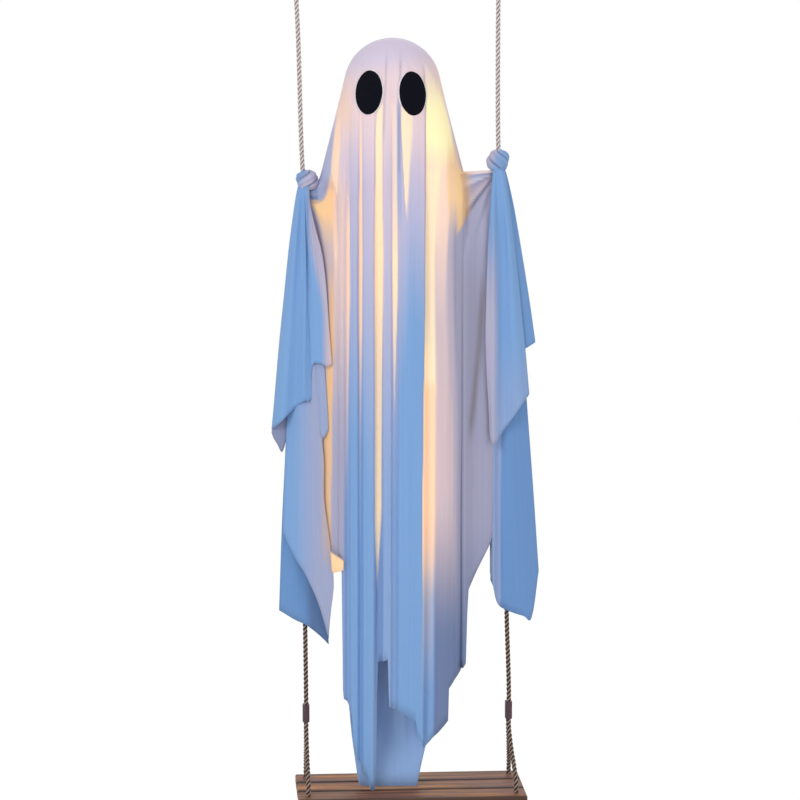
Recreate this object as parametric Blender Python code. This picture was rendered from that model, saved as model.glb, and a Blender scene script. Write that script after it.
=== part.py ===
# A fabric ghost hung on a small wooden swing, lit from inside.
# Metres, +Z up, the ghost faces -Y. Heights are given above the seat's top face, and one empty
# moves everything so that the origin lies midway between the two hanging loops.
import math

import bmesh
import bpy
from mathutils import Vector

for old in list(bpy.data.objects):
    bpy.data.objects.remove(old, do_unlink=True)

# Clearances
TOUCH = 0.0003
ROPE_CLEARANCE = 0.0004

# Hanging height and ropes
HANG_HEIGHT = 1.695
ROPE_DIAMETER = 0.010
ROPE_PITCH = ROPE_DIAMETER + 0.0006
LOOP_INNER_RADIUS = 0.020
ROPE_TOP_X = 0.1993
ROPE_POINT_SPACING = 0.085
WHIPPING_WALL = 0.002
WHIPPING_HEIGHT = 0.036
LOW_WHIPPING_Z = 0.154
TOP_WHIPPING_Z = 1.614

# Seat
SLAT_LENGTH = 0.460
SLAT_WIDTH = 0.062
SLAT_GAP = 0.007
SLAT_THICKNESS = 0.018
SEAT_X = 0.0255
HOLE_END_DISTANCE = 0.0205
HOLE_OFFSET = 0.003
HOLE_HALF_SPAN = SLAT_LENGTH / 2 - HOLE_END_DISTANCE
HOLE_Y = SLAT_WIDTH + SLAT_GAP + HOLE_OFFSET
ROPE_DROP_UNDER = 0.004
SLAT_EDGE = 0.003
BATTEN_WIDTH = 0.034
BATTEN_THICKNESS = 0.016
BATTEN_INSET = 0.005
BATTEN_END_DISTANCE = 0.080
BATTEN_EDGE = 0.002

# Ghost
CLOTH = 0.0025
HEAD_X = -0.010
HEAD_RADIUS = 0.095
HEAD_TOP_Z = 1.511
HEAD_SLOPE = 0.2375
SHOULDER_Z = 1.245
WAIST_Z = 1.190
BODY_X = 0.005
BODY_HALF_WIDTH = 0.134
KNOT_RADIUS = 0.0215
PLEAT_START_Z = 1.492
PLEAT_FULL_DROP = 0.45
PLEAT_DEPTH = 0.0085
PLEAT_STRAIGHT = 0.6
CROWN_FAN_Z = 1.505
CROWN_FAN_DROP = 0.060
SECTION_POWER = 0.75
SECTION_TOP_Z = 1.400
SECTION_DROP = 0.300
BROW_Z = 1.420
THIN_DEPTH = 0.030
COLUMN_STEP = 0.014
ARM_WAVE = 0.003
ARM_CREST = 0.010
ARM_HALF_DEPTH = 0.018
ARM_OVERLAP = 0.011

# Inner frame
BAR_DIAMETER = 0.012
UPRIGHT_DIAMETER = 0.022
HEAD_SOCKET_TOP_Z = 1.400
HEAD_FORM_BOTTOM_Z = 1.345
HEAD_SLACK = 0.0055
BAR_LEFT_Z = 1.199
BAR_RIGHT_Z = 1.234
BAR_HEADROOM = 0.004
PASSAGE_DEPTH = 0.022
PASSAGE_LENGTH = 0.040
PASSAGE_DROP = 0.070
LIGHT_STRIP_WIDTH = 0.010
LIGHT_STRIP_THICKNESS = 0.003
LIGHT_STRIP_LENGTH = 0.780
LIGHT_STRIP_RISE = 0.130
LIGHT_STRIP_HEADROOM = 0.005
UPRIGHT_BOTTOM_Z = HEAD_FORM_BOTTOM_Z - LIGHT_STRIP_HEADROOM - LIGHT_STRIP_LENGTH - LIGHT_STRIP_RISE
BATTERY_BOX_SIZE = (0.048, 0.022, 0.070)
BATTERY_BOX_RISE = 0.050
BATTERY_BOX_EDGE = 0.003

# Eyes
EYE_SIZE = (0.0535, 0.0875)
EYE_THICKNESS = 0.002
EYE_LIFT = 0.0008
EYE_TILT = math.radians(5.5)
EYES = {"eye_left": (-0.061, 1.407, 1), "eye_right": (0.023, 1.405, -1)}


def material(name, colour, roughness, metallic=0.0):
    mat = bpy.data.materials.new(name)
    mat.use_nodes = True
    shader = mat.node_tree.nodes["Principled BSDF"]
    shader.inputs["Base Color"].default_value = (*colour, 1)
    shader.inputs["Roughness"].default_value = roughness
    shader.inputs["Metallic"].default_value = metallic
    return mat


CLOTH_BLUE = material("cloth_blue", (0.33, 0.47, 0.76), 0.85)
FELT_NAVY = material("felt_navy", (0.010, 0.010, 0.020), 0.95)
ROPE_FIBRE = material("rope_fibre", (0.42, 0.37, 0.33), 0.9)
THREAD_DARK = material("thread_dark", (0.05, 0.028, 0.035), 0.8)
SEAT_WOOD = material("seat_wood", (0.22, 0.10, 0.05), 0.6)
PALE_WOOD = material("pale_wood", (0.62, 0.46, 0.30), 0.65)
FOAM_WHITE = material("foam_white", (0.85, 0.85, 0.83), 0.9)
STRIP_WHITE = material("strip_white", (0.9, 0.75, 0.5), 0.5)
BOX_BLACK = material("box_black", (0.03, 0.03, 0.03), 0.5)

frame = bpy.data.objects.new("swing_frame", None)
bpy.context.collection.objects.link(frame)
frame.location = (0, 0, -HANG_HEIGHT)


def add_object(name, data, mat, location=(0, 0, 0), smooth=False):
    ob = bpy.data.objects.new(name, data)
    bpy.context.collection.objects.link(ob)
    ob.location = location
    ob.parent = frame
    data.materials.append(mat)
    if smooth:
        data.shade_smooth()
        data.set_sharp_from_angle(angle=math.radians(40))
    return ob


def hide_cutter(ob):
    ob.hide_render = True
    ob.display_type = "WIRE"


def boolean(ob, other, operation):
    mod = ob.modifiers.new(operation.lower(), "BOOLEAN")
    mod.operation = operation
    mod.solver = "EXACT"
    mod.object = other
    hide_cutter(other)


def bevel(ob, width, segments=2):
    mod = ob.modifiers.new("bevel", "BEVEL")
    mod.width = width
    mod.segments = segments
    mod.limit_method = "ANGLE"


def box(name, size, location, mat, edge=0.0):
    mesh = bpy.data.meshes.new(name)
    bm = bmesh.new()
    bmesh.ops.create_cube(bm, size=1)
    bmesh.ops.scale(bm, vec=size, verts=bm.verts)
    bm.to_mesh(mesh)
    bm.free()
    ob = add_object(name, mesh, mat, location)
    if edge:
        bevel(ob, edge)
    return ob


def cylinder_between(name, start, end, radius, mat, sides=24):
    start = Vector(start)
    end = Vector(end)
    mesh = bpy.data.meshes.new(name)
    bm = bmesh.new()
    bmesh.ops.create_cone(bm, cap_ends=True, segments=sides, radius1=radius, radius2=radius,
                          depth=(end - start).length)
    bm.to_mesh(mesh)
    bm.free()
    ob = add_object(name, mesh, mat, (start + end) / 2, smooth=True)
    ob.rotation_euler = (end - start).to_track_quat("Z", "Y").to_euler()
    return ob


def lerp(a, b, t):
    return a + (b - a) * t


def smoothstep(t):
    t = min(max(t, 0.0), 1.0)
    return t * t * (3 - 2 * t)


def through(points, value):
    """Read a height profile, a list of (position, result) pairs in rising order."""
    if value <= points[0][0]:
        return points[0][1]
    for (a, first), (b, second) in zip(points, points[1:]):
        if value <= b:
            return lerp(first, second, (value - a) / (b - a))
    return points[-1][1]


def catmull(p0, p1, p2, p3, t):
    return 0.5 * ((2 * p1) + (p2 - p0) * t + (2 * p0 - 5 * p1 + 4 * p2 - p3) * t * t
                  + (3 * p1 - p0 - 3 * p2 + p3) * t ** 3)


# Ropes

# Places along each rope, as (height, x) pairs, between its top whipping and the seat
LEFT_FALL = [(1.585, -0.1985), (1.262, -0.1880), (1.215, -0.1850), (0.345, -0.1865), (0.172, -0.1855)]
RIGHT_FALL = [(1.585, 0.1992), (1.300, 0.2005), (1.236, 0.2030), (0.345, 0.2220), (0.172, 0.2265)]


def rope_route(side):
    """Hand-chosen points from the short tail in the eye, round the eye, down, under the seat and up."""
    fall = LEFT_FALL if side < 0 else RIGHT_FALL
    stand = side * ROPE_TOP_X
    inward = -side
    half = ROPE_PITCH / 2
    ring = LOOP_INNER_RADIUS + ROPE_DIAMETER / 2
    ring_z = HANG_HEIGHT - LOOP_INNER_RADIUS
    middle = stand + inward * half
    tail = stand + ROPE_PITCH * inward
    points = [(tail, 0, TOP_WHIPPING_Z + rise) for rise in (-0.012, 0.006, 0.019)]
    points.append((tail + 0.0012 * inward, 0, TOP_WHIPPING_Z + 0.026))
    for turn in (-28, 10, 50, 90, 130, 170, 208):
        angle = math.radians(turn)
        points.append((middle + inward * ring * math.cos(angle), 0, ring_z + ring * math.sin(angle)))
    points.append((stand - 0.0012 * inward, 0, TOP_WHIPPING_Z + 0.026))
    points += [(stand, 0, TOP_WHIPPING_Z + rise) for rise in (0.019, 0.006, -0.020)]
    points += [(x, 0, z) for z, x in fall[:-1]]
    low_x = fall[-1][1]
    hole_x = SEAT_X + side * HOLE_HALF_SPAN
    top = LOW_WHIPPING_Z + WHIPPING_HEIGHT / 2
    bottom = LOW_WHIPPING_Z - WHIPPING_HEIGHT / 2
    under = -SLAT_THICKNESS - ROPE_DIAMETER / 2 - ROPE_DROP_UNDER
    points += [
        (low_x, -half, top + 0.022),
        (low_x, -half, top + 0.002),
        (low_x, -half, bottom - 0.002),
        (low_x, -half - 0.0012, bottom - 0.014),
        (lerp(low_x, hole_x, 0.3), -0.022, bottom - 0.048),
        (hole_x, -HOLE_Y + 0.002, 0.022),
        (hole_x, -HOLE_Y, 0.002),
        (hole_x, -HOLE_Y + 0.006, under + 0.011),
        (hole_x, -HOLE_Y + 0.022, under),
        (hole_x, 0, under),
        (hole_x, HOLE_Y - 0.022, under),
        (hole_x, HOLE_Y - 0.006, under + 0.011),
        (hole_x, HOLE_Y, 0.002),
        (hole_x, HOLE_Y - 0.002, 0.022),
        (lerp(low_x, hole_x, 0.3), 0.022, bottom - 0.048),
        (low_x, half + 0.0012, bottom - 0.014),
        (low_x, half, bottom - 0.002),
        (low_x, half, top - 0.005),
    ]
    return [Vector(p) for p in points]


def smooth_line(route, spacing):
    """Points read from a smooth curve through the route, closer together where it is short."""
    line = []
    last = len(route) - 1
    for i in range(last):
        p1, p2 = route[i], route[i + 1]
        p0 = route[i - 1] if i else 2 * p1 - p2
        p3 = route[i + 2] if i < last - 1 else 2 * p2 - p1
        reach = (p2 - p1).length
        p0 = p1 + (p0 - p1) * (reach / (p1 - p0).length)
        p3 = p2 + (p3 - p2) * (reach / (p3 - p2).length)
        count = max(1 if reach < 1.2 * ROPE_DIAMETER else 2, round(reach / spacing))
        line += [catmull(p0, p1, p2, p3, k / count) for k in range(count)]
    line.append(route[last])
    return line


def tube(name, line, radius, mat, resolution=2):
    data = bpy.data.curves.new(name, "CURVE")
    data.dimensions = "3D"
    data.bevel_depth = radius
    data.bevel_resolution = resolution
    data.use_fill_caps = True
    spline = data.splines.new("POLY")
    spline.points.add(len(line) - 1)
    for point, place in zip(spline.points, line):
        point.co = (*place, 1)
    return add_object(name, data, mat)


def bore(name, line, radius):
    """A solid tube along a rope, to cut its way through another piece."""
    guide = tube(name + "_guide", line, radius, SEAT_WOOD, 3)
    mesh = bpy.data.meshes.new_from_object(guide)
    bpy.data.objects.remove(guide)
    cutter = bpy.data.objects.new(name, mesh)
    bpy.context.collection.objects.link(cutter)
    cutter.parent = frame
    hide_cutter(cutter)
    return cutter


def stadium(width, depth, sides=8):
    """Outline of a slot, width across X and depth along Y, depth being the longer."""
    radius = width / 2
    straight = (depth - width) / 2
    outline = []
    for k in range(sides + 1):
        angle = math.pi * k / sides
        outline.append((radius * math.cos(angle), straight + radius * math.sin(angle)))
    return outline + [(-x, -y) for x, y in outline]


def whipping(name, centre, turn):
    """A bound sleeve of thread round two rope strands that lie side by side."""
    width = ROPE_DIAMETER + 2 * ROPE_CLEARANCE
    inner = stadium(width, width + ROPE_PITCH)
    outer = stadium(width + 2 * WHIPPING_WALL, width + ROPE_PITCH + 2 * WHIPPING_WALL)
    half = WHIPPING_HEIGHT / 2
    mesh = bpy.data.meshes.new(name)
    bm = bmesh.new()
    loops = []
    for outline, z in ((inner, -half), (outer, -half), (outer, half), (inner, half)):
        loops.append([bm.verts.new((x, y, z)) for x, y in outline])
    count = len(inner)
    for a, b in zip(loops, loops[1:] + loops[:1]):
        for k in range(count):
            m = (k + 1) % count
            bm.faces.new((a[k], a[m], b[m], b[k]))
    bmesh.ops.recalc_face_normals(bm, faces=bm.faces)
    bm.to_mesh(mesh)
    bm.free()
    ob = add_object(name, mesh, THREAD_DARK, centre, smooth=True)
    ob.rotation_euler = (0, 0, turn)
    return ob


def make_ropes():
    lines = {}
    for word, side in (("left", -1), ("right", 1)):
        line = smooth_line(rope_route(side), ROPE_POINT_SPACING)
        lines[word] = line
        tube(f"rope_{word}", line, ROPE_DIAMETER / 2, ROPE_FIBRE)
        fall = LEFT_FALL if side < 0 else RIGHT_FALL
        whipping(f"whipping_{word}_low", (fall[-1][1], 0, LOW_WHIPPING_Z), 0)
        middle = side * (ROPE_TOP_X - ROPE_PITCH / 2)
        whipping(f"whipping_{word}_top", (middle, 0, TOP_WHIPPING_Z), math.pi / 2)
    return lines


# Seat

def make_seat(lines):
    bores = [bore(f"seat_bore_{word}", line, ROPE_DIAMETER / 2 + ROPE_CLEARANCE)
             for word, line in lines.items()]
    pitch = SLAT_WIDTH + SLAT_GAP
    for word, row in (("front", -1), ("middle", 0), ("rear", 1)):
        slat = box(f"slat_{word}", (SLAT_LENGTH, SLAT_WIDTH, SLAT_THICKNESS),
                   (SEAT_X, row * pitch, -SLAT_THICKNESS / 2), SEAT_WOOD, SLAT_EDGE)
        if row:
            for cutter in bores:
                boolean(slat, cutter, "DIFFERENCE")
    batten_size = (BATTEN_WIDTH, 2 * pitch + SLAT_WIDTH - 2 * BATTEN_INSET, BATTEN_THICKNESS)
    z = -SLAT_THICKNESS - TOUCH - BATTEN_THICKNESS / 2
    for word, side in (("left", -1), ("right", 1)):
        x = SEAT_X + side * (SLAT_LENGTH / 2 - BATTEN_END_DISTANCE)
        box(f"batten_{word}", batten_size, (x, 0, z), SEAT_WOOD, BATTEN_EDGE)


# Inner frame that the sheet hangs over

BAR_LEFT_X = through(sorted(LEFT_FALL), BAR_LEFT_Z)
BAR_RIGHT_X = through(sorted(RIGHT_FALL), BAR_RIGHT_Z)
BAR_TILT = (BAR_RIGHT_Z - BAR_LEFT_Z) / (BAR_RIGHT_X - BAR_LEFT_X)


def bar_z(x):
    """Height of the crossbar's axis, which runs from rope to rope."""
    return BAR_LEFT_Z + BAR_TILT * (x - BAR_LEFT_X)


def make_inner_frame():
    reach = ROPE_DIAMETER / 2 + BAR_DIAMETER / 2 * BAR_TILT + 2 * TOUCH
    left = BAR_LEFT_X + reach
    right = BAR_RIGHT_X - reach
    cylinder_between("crossbar", (left, 0, bar_z(left)), (right, 0, bar_z(right)),
                     BAR_DIAMETER / 2, PALE_WOOD)
    hole = cylinder_between("crossbar_hole", (left, 0, bar_z(left)), (right, 0, bar_z(right)),
                            BAR_DIAMETER / 2 + TOUCH, PALE_WOOD)
    upright = cylinder_between("upright", (HEAD_X, 0, UPRIGHT_BOTTOM_Z),
                               (HEAD_X, 0, HEAD_SOCKET_TOP_Z - TOUCH), UPRIGHT_DIAMETER / 2, PALE_WOOD)
    boolean(upright, hole, "DIFFERENCE")

    radius = HEAD_RADIUS - CLOTH - HEAD_SLACK
    top = HEAD_TOP_Z - CLOTH - 3 * TOUCH
    socket = UPRIGHT_DIAMETER / 2 + TOUCH
    profile = [(socket, HEAD_SOCKET_TOP_Z), (socket, HEAD_FORM_BOTTOM_Z)]
    low = math.asin((HEAD_FORM_BOTTOM_Z - (top - radius)) / radius)
    steps = 9
    for k in range(steps + 1):
        angle = lerp(low, math.pi / 2, k / steps)
        profile.append((radius * math.cos(angle), top - radius + radius * math.sin(angle)))
    sides = 24
    mesh = bpy.data.meshes.new("head_form")
    bm = bmesh.new()
    rings = []
    for r, z in profile[:-1]:
        rings.append([bm.verts.new((r * math.cos(2 * math.pi * k / sides),
                                    r * math.sin(2 * math.pi * k / sides), z)) for k in range(sides)])
    for a, b in zip(rings, rings[1:]):
        for k in range(sides):
            m = (k + 1) % sides
            bm.faces.new((a[k], a[m], b[m], b[k]))
    bm.faces.new(rings[0])
    crown = bm.verts.new((0, 0, top))
    for k in range(sides):
        bm.faces.new((rings[-1][k], rings[-1][(k + 1) % sides], crown))
    bmesh.ops.recalc_face_normals(bm, faces=bm.faces)
    bm.to_mesh(mesh)
    bm.free()
    add_object("head_form", mesh, FOAM_WHITE, (HEAD_X, 0, 0), smooth=True)

    strip_size = (LIGHT_STRIP_WIDTH, LIGHT_STRIP_THICKNESS, LIGHT_STRIP_LENGTH)
    strip_y = UPRIGHT_DIAMETER / 2 + TOUCH + LIGHT_STRIP_THICKNESS / 2
    strip_z = UPRIGHT_BOTTOM_Z + LIGHT_STRIP_RISE + LIGHT_STRIP_LENGTH / 2
    for word, side in (("front", -1), ("back", 1)):
        box(f"light_strip_{word}", strip_size, (HEAD_X, side * strip_y, strip_z), STRIP_WHITE)
    box_y = UPRIGHT_DIAMETER / 2 + TOUCH + BATTERY_BOX_SIZE[1] / 2
    box("battery_box", BATTERY_BOX_SIZE, (HEAD_X, box_y, UPRIGHT_BOTTOM_Z + BATTERY_BOX_RISE),
        BOX_BLACK, BATTERY_BOX_EDGE)


# Sheet: the body

# Ridges (+1) and valleys (-1) of the front pleats, by their x on the lower body
FRONT_FOLDS = [(-0.130, 0.0), (-0.116, 1), (-0.1015, -1), (-0.089, 0.8), (-0.076, -0.9), (-0.060, 1),
               (-0.0415, -1), (-0.0245, 0.9), (-0.010, -1), (0.006, 0.7), (0.042, 1), (0.061, -1),
               (0.085, 0.8), (0.108, -0.4), (0.140, 0)]
# Hem heights across the front, left to right, with the steps of the torn-looking lower edge
FRONT_HEM = [(-0.130, 0.480), (-0.1165, 0.475), (-0.114, 0.190), (-0.0945, 0.156), (-0.090, 0.110),
             (-0.0775, 0.003), (-0.048, 0.003), (-0.045, 0.270), (-0.0235, 0.278), (-0.021, 0.180),
             (0.0315, 0.151), (0.036, 0.118), (0.050, 0.088), (0.102, 0.136), (0.1035, 0.205),
             (0.140, 0.254)]
BACK_HEM = [(-0.130, 0.450), (-0.118, 0.380), (-0.108, 0.200), (-0.092, 0.100), (-0.080, 0.006),
            (0.038, 0.004), (0.095, 0.128), (0.122, 0.230), (0.140, 0.262)]
HEM_STEP = 0.005
FRONT_DEPTH = [(0.0, 0.048), (0.40, 0.078), (SHOULDER_Z, 0.094)]
BACK_DEPTH = [(0.0, 0.004), (0.12, 0.026), (0.60, 0.078), (SHOULDER_Z, 0.090)]
BACK_PLEATS = 7


def head_profile(z, slope):
    """Half-width of the cloth over the head: a ball, then a straight taper that leaves it smoothly."""
    centre = HEAD_TOP_Z - HEAD_RADIUS
    lean = math.atan(slope)
    join = centre + HEAD_RADIUS * math.sin(lean)
    if z > join:
        return math.sqrt(max(HEAD_RADIUS ** 2 - (z - centre) ** 2, 0))
    return HEAD_RADIUS * math.cos(lean) + (join - z) * slope


def side_reach(z):
    """Half-width and middle of the body at a height."""
    if z >= SHOULDER_Z:
        return head_profile(z, HEAD_SLOPE), HEAD_X
    t = smoothstep((SHOULDER_Z - z) / (SHOULDER_Z - WAIST_Z))
    return lerp(head_profile(SHOULDER_Z, HEAD_SLOPE), BODY_HALF_WIDTH, t), lerp(HEAD_X, BODY_X, t)


def depth_reach(z, front):
    profile = FRONT_DEPTH if front else BACK_DEPTH
    if z >= SHOULDER_Z:
        start = head_profile(z, 0.0)
        settled = smoothstep((BROW_Z - z) / (BROW_Z - SHOULDER_Z))
        return start + (profile[-1][1] - HEAD_RADIUS) * settled
    return through(profile, z)


def low_x(angle):
    """Where a column of the cloth ends up on the lower body."""
    return BODY_X + BODY_HALF_WIDTH * math.cos(angle)


def fold_height(angle):
    """Relief of the pleats round the body, -1 to 1."""
    x = low_x(angle)
    if math.sin(angle) > 0:
        return math.cos(BACK_PLEATS * 2 * angle) * 0.8
    for (a, first), (b, second) in zip(FRONT_FOLDS, FRONT_FOLDS[1:]):
        if a <= x <= b:
            return lerp(first, second, smoothstep((x - a) / (b - a)))
    return 0.0


def fan(share, edge, back=False):
    """Pleats hang straight down from the head's middle, and the outer ones fan out over the shoulders.
    Takes a column's share of the half-width on the lower body to its share higher up, or back."""
    rest = 1 - PLEAT_STRAIGHT
    if share < PLEAT_STRAIGHT:
        return share
    power = max(1.0, (edge - PLEAT_STRAIGHT) / rest)
    if back:
        left = max(0.0, 1 - (share - PLEAT_STRAIGHT) / rest) ** (1 / power)
        return PLEAT_STRAIGHT + (edge - PLEAT_STRAIGHT) * (1 - left)
    left = max(0.0, 1 - (share - PLEAT_STRAIGHT) / (edge - PLEAT_STRAIGHT)) ** power
    return PLEAT_STRAIGHT + rest * (1 - left)


def turned(angle, z, back=False):
    """The angle at which a column lies at a height, or the column that lies at an angle there."""
    half, middle = side_reach(z)
    x = middle + half * math.cos(angle) if back else low_x(angle)
    side = 1 if x > middle else -1
    edge = (side * (BODY_X - middle) + BODY_HALF_WIDTH) / half
    x = middle + side * half * fan(abs(x - middle) / half, edge, back)
    share = (x - BODY_X) / BODY_HALF_WIDTH if back else (x - middle) / half
    moved = math.copysign(math.acos(max(-1.0, min(1.0, share))), angle)
    return moved if back else lerp(angle, moved, smoothstep((CROWN_FAN_Z - z) / CROWN_FAN_DROP))


def cloth_point(turn, column, z):
    """A point of the sheet at an angle, with the relief of the column that hangs there."""
    half, middle = side_reach(z)
    front = math.sin(column) < 0
    deep = depth_reach(z, front)
    grow = smoothstep((PLEAT_START_Z - z) / PLEAT_FULL_DROP) * min(1, deep / THIN_DEPTH)
    flat = math.copysign(abs(math.sin(turn)) ** SECTION_POWER, math.sin(column))
    y = deep * lerp(math.sin(turn), flat, smoothstep((SECTION_TOP_Z - z) / SECTION_DROP))
    out = Vector((math.cos(turn) / max(half, 1e-4), math.sin(turn) / max(deep, 1e-4), 0)).normalized()
    return Vector((middle + half * math.cos(turn), y, z)) + out * PLEAT_DEPTH * grow * fold_height(column)


def body_point(column, z):
    return cloth_point(turned(column, z), column, z)


def hem_z(angle):
    return through(FRONT_HEM if math.sin(angle) < 0 else BACK_HEM, low_x(angle))


def column_angles():
    """Columns at each fold, between folds and at each step of the hem, evenly spaced behind."""
    xs = []
    for (a, _), (b, _) in zip(FRONT_FOLDS, FRONT_FOLDS[1:]):
        steps = 2 if b - a < 0.03 else 3
        xs += [lerp(a, b, k / steps) for k in range(steps)]
    for (a, _), (b, _) in zip(FRONT_HEM, FRONT_HEM[1:]):
        if b - a < HEM_STEP:
            xs += [a, b]
    angles = sorted(-math.acos(max(-1, min(1, (x - BODY_X) / BODY_HALF_WIDTH))) for x in set(xs))
    kept = [angles[0]]
    for angle in angles[1:]:
        if angle - kept[-1] > COLUMN_STEP:
            kept.append(angle)
    back = BACK_PLEATS * 4
    return kept + [math.pi * k / back for k in range(back)]


def make_body():
    angles = column_angles()
    upper = [HEAD_TOP_Z - HEAD_RADIUS * (1 - math.cos(math.radians(a))) for a in (9, 24, 40, 56, 72, 86)]
    upper += [1.375, 1.310, SHOULDER_Z, 1.215, WAIST_Z]
    lower = [0.10, 0.25, 0.42, 0.60, 0.76, 0.90, 1.0]
    mesh = bpy.data.meshes.new("ghost_sheet")
    bm = bmesh.new()
    columns = []
    for angle in angles:
        heights = upper + [lerp(WAIST_Z, hem_z(angle), t) for t in lower]
        columns.append([bm.verts.new(body_point(angle, z)) for z in heights])
    crown = bm.verts.new((HEAD_X, 0, HEAD_TOP_Z))
    for a, b in zip(columns, columns[1:] + columns[:1]):
        bm.faces.new((crown, a[0], b[0]))
        for k in range(len(a) - 1):
            bm.faces.new((a[k], a[k + 1], b[k + 1], b[k]))
    bmesh.ops.recalc_face_normals(bm, faces=bm.faces)
    bm.to_mesh(mesh)
    bm.free()
    body = add_object("ghost_sheet", mesh, CLOTH_BLUE, smooth=True)
    thicken(body)
    return body


def thicken(ob, offset=-1):
    mod = ob.modifiers.new("thickness", "SOLIDIFY")
    mod.thickness = CLOTH
    mod.offset = offset


# Sheet: arms, knots and sleeves

# Each sleeve flap is a fan of fold lines, from the knot's neck to the hem, as (start, end) points
LEFT_FLAPS = {
    "front": [((-0.197, -0.006, 1.219), (-0.252, -0.008, 0.730)),
              ((-0.192, -0.014, 1.222), (-0.232, -0.032, 0.748)),
              ((-0.186, -0.016, 1.224), (-0.205, -0.022, 0.772)),
              ((-0.178, -0.018, 1.222), (-0.187, -0.036, 0.793)),
              ((-0.173, -0.018, 1.219), (-0.1745, -0.026, 0.797)),
              ((-0.171, -0.017, 1.219), (-0.1725, -0.026, 0.862)),
              ((-0.165, -0.017, 1.216), (-0.152, -0.038, 0.858)),
              ((-0.160, -0.014, 1.214), (-0.131, -0.028, 0.866))],
    "middle": [((-0.196, -0.003, 1.216), (-0.231, 0.004, 0.528)),
               ((-0.190, -0.011, 1.220), (-0.206, -0.018, 0.478)),
               ((-0.182, -0.012, 1.220), (-0.184, -0.012, 0.440)),
               ((-0.173, -0.012, 1.216), (-0.158, -0.020, 0.378)),
               ((-0.165, -0.010, 1.213), (-0.139, -0.012, 0.330))],
    "rear": [((-0.196, 0.004, 1.218), (-0.239, -0.002, 0.368)),
             ((-0.190, 0.011, 1.220), (-0.212, 0.016, 0.352)),
             ((-0.182, 0.012, 1.220), (-0.183, 0.011, 0.337)),
             ((-0.174, 0.011, 1.216), (-0.160, 0.018, 0.318)),
             ((-0.166, 0.008, 1.213), (-0.140, 0.008, 0.297))],
}
RIGHT_FLAPS = {
    "front": [((0.186, -0.012, 1.252), (0.175, -0.028, 0.752)),
              ((0.192, -0.016, 1.257), (0.195, -0.040, 0.713)),
              ((0.198, -0.017, 1.258), (0.215, -0.026, 0.735)),
              ((0.205, -0.016, 1.257), (0.240, -0.036, 0.772)),
              ((0.211, -0.010, 1.254), (0.263, -0.016, 0.804))],
    "outer": [((0.203, -0.013, 1.256), (0.236, -0.012, 0.884)),
              ((0.208, -0.010, 1.255), (0.256, -0.016, 0.895)),
              ((0.213, -0.003, 1.253), (0.277, -0.002, 0.906))],
    "middle": [((0.186, -0.009, 1.250), (0.178, -0.014, 0.425)),
               ((0.191, -0.012, 1.254), (0.188, -0.026, 0.400)),
               ((0.198, -0.013, 1.256), (0.200, -0.014, 0.372)),
               ((0.204, -0.012, 1.256), (0.224, -0.018, 0.362)),
               ((0.209, -0.008, 1.254), (0.254, -0.010, 0.350)),
               ((0.212, -0.001, 1.252), (0.272, -0.004, 0.345)),
               ((0.214, 0.004, 1.250), (0.287, 0.006, 0.440))],
    "rear": [((0.188, 0.009, 1.252), (0.190, 0.012, 0.420)),
             ((0.198, 0.013, 1.256), (0.212, 0.020, 0.376)),
             ((0.205, 0.012, 1.256), (0.240, 0.012, 0.372)),
             ((0.212, 0.006, 1.254), (0.277, 0.012, 0.430))],
}
FLAP_ROWS = 7


def make_flap(name, lines, across=2):
    """A thin curtain through its fold lines, spreading quickly below the knot and then falling."""
    spread = []
    for row in range(FLAP_ROWS + 1):
        t = row / FLAP_ROWS
        places = []
        for start, end in lines:
            start, end = Vector(start), Vector(end)
            ease = t ** 0.8
            places.append(Vector((lerp(start.x, end.x, ease), lerp(start.y, end.y, ease),
                                  lerp(start.z, end.z, t))))
        spread.append(places)
    mesh = bpy.data.meshes.new(name)
    bm = bmesh.new()
    rows = []
    for places in spread:
        last = len(places) - 1
        row = []
        for i in range(last):
            p0, p1, p2, p3 = places[max(i - 1, 0)], places[i], places[i + 1], places[min(i + 2, last)]
            row += [catmull(p0, p1, p2, p3, k / across) for k in range(across)]
        row.append(places[last])
        rows.append([bm.verts.new(p) for p in row])
    for a, b in zip(rows, rows[1:]):
        for k in range(len(a) - 1):
            bm.faces.new((a[k], a[k + 1], b[k + 1], b[k]))
    bmesh.ops.recalc_face_normals(bm, faces=bm.faces)
    bm.to_mesh(mesh)
    bm.free()
    ob = add_object(name, mesh, CLOTH_BLUE)
    thicken(ob, 0)
    return ob


def make_knot(name, centre, phase):
    """A ball of twisted cloth with three winding lobes."""
    sides, rings = 24, 11
    mesh = bpy.data.meshes.new(name)
    bm = bmesh.new()
    loops = []
    for j in range(1, rings):
        polar = math.pi * j / rings
        loop = []
        for k in range(sides):
            turn = 2 * math.pi * k / sides
            lobe = 1 + 0.10 * math.sin(polar) * math.cos(3 * turn + 2.6 * polar + phase)
            r = KNOT_RADIUS * lobe
            loop.append(bm.verts.new((r * math.sin(polar) * math.cos(turn),
                                      r * math.sin(polar) * math.sin(turn), r * math.cos(polar))))
        loops.append(loop)
    poles = [bm.verts.new((0, 0, KNOT_RADIUS)), bm.verts.new((0, 0, -KNOT_RADIUS))]
    for a, b in zip(loops, loops[1:]):
        for k in range(sides):
            m = (k + 1) % sides
            bm.faces.new((a[k], b[k], b[m], a[m]))
    for k in range(sides):
        m = (k + 1) % sides
        bm.faces.new((poles[0], loops[0][k], loops[0][m]))
        bm.faces.new((poles[1], loops[-1][m], loops[-1][k]))
    bm.to_mesh(mesh)
    bm.free()
    return add_object(name, mesh, CLOTH_BLUE, centre)


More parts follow.
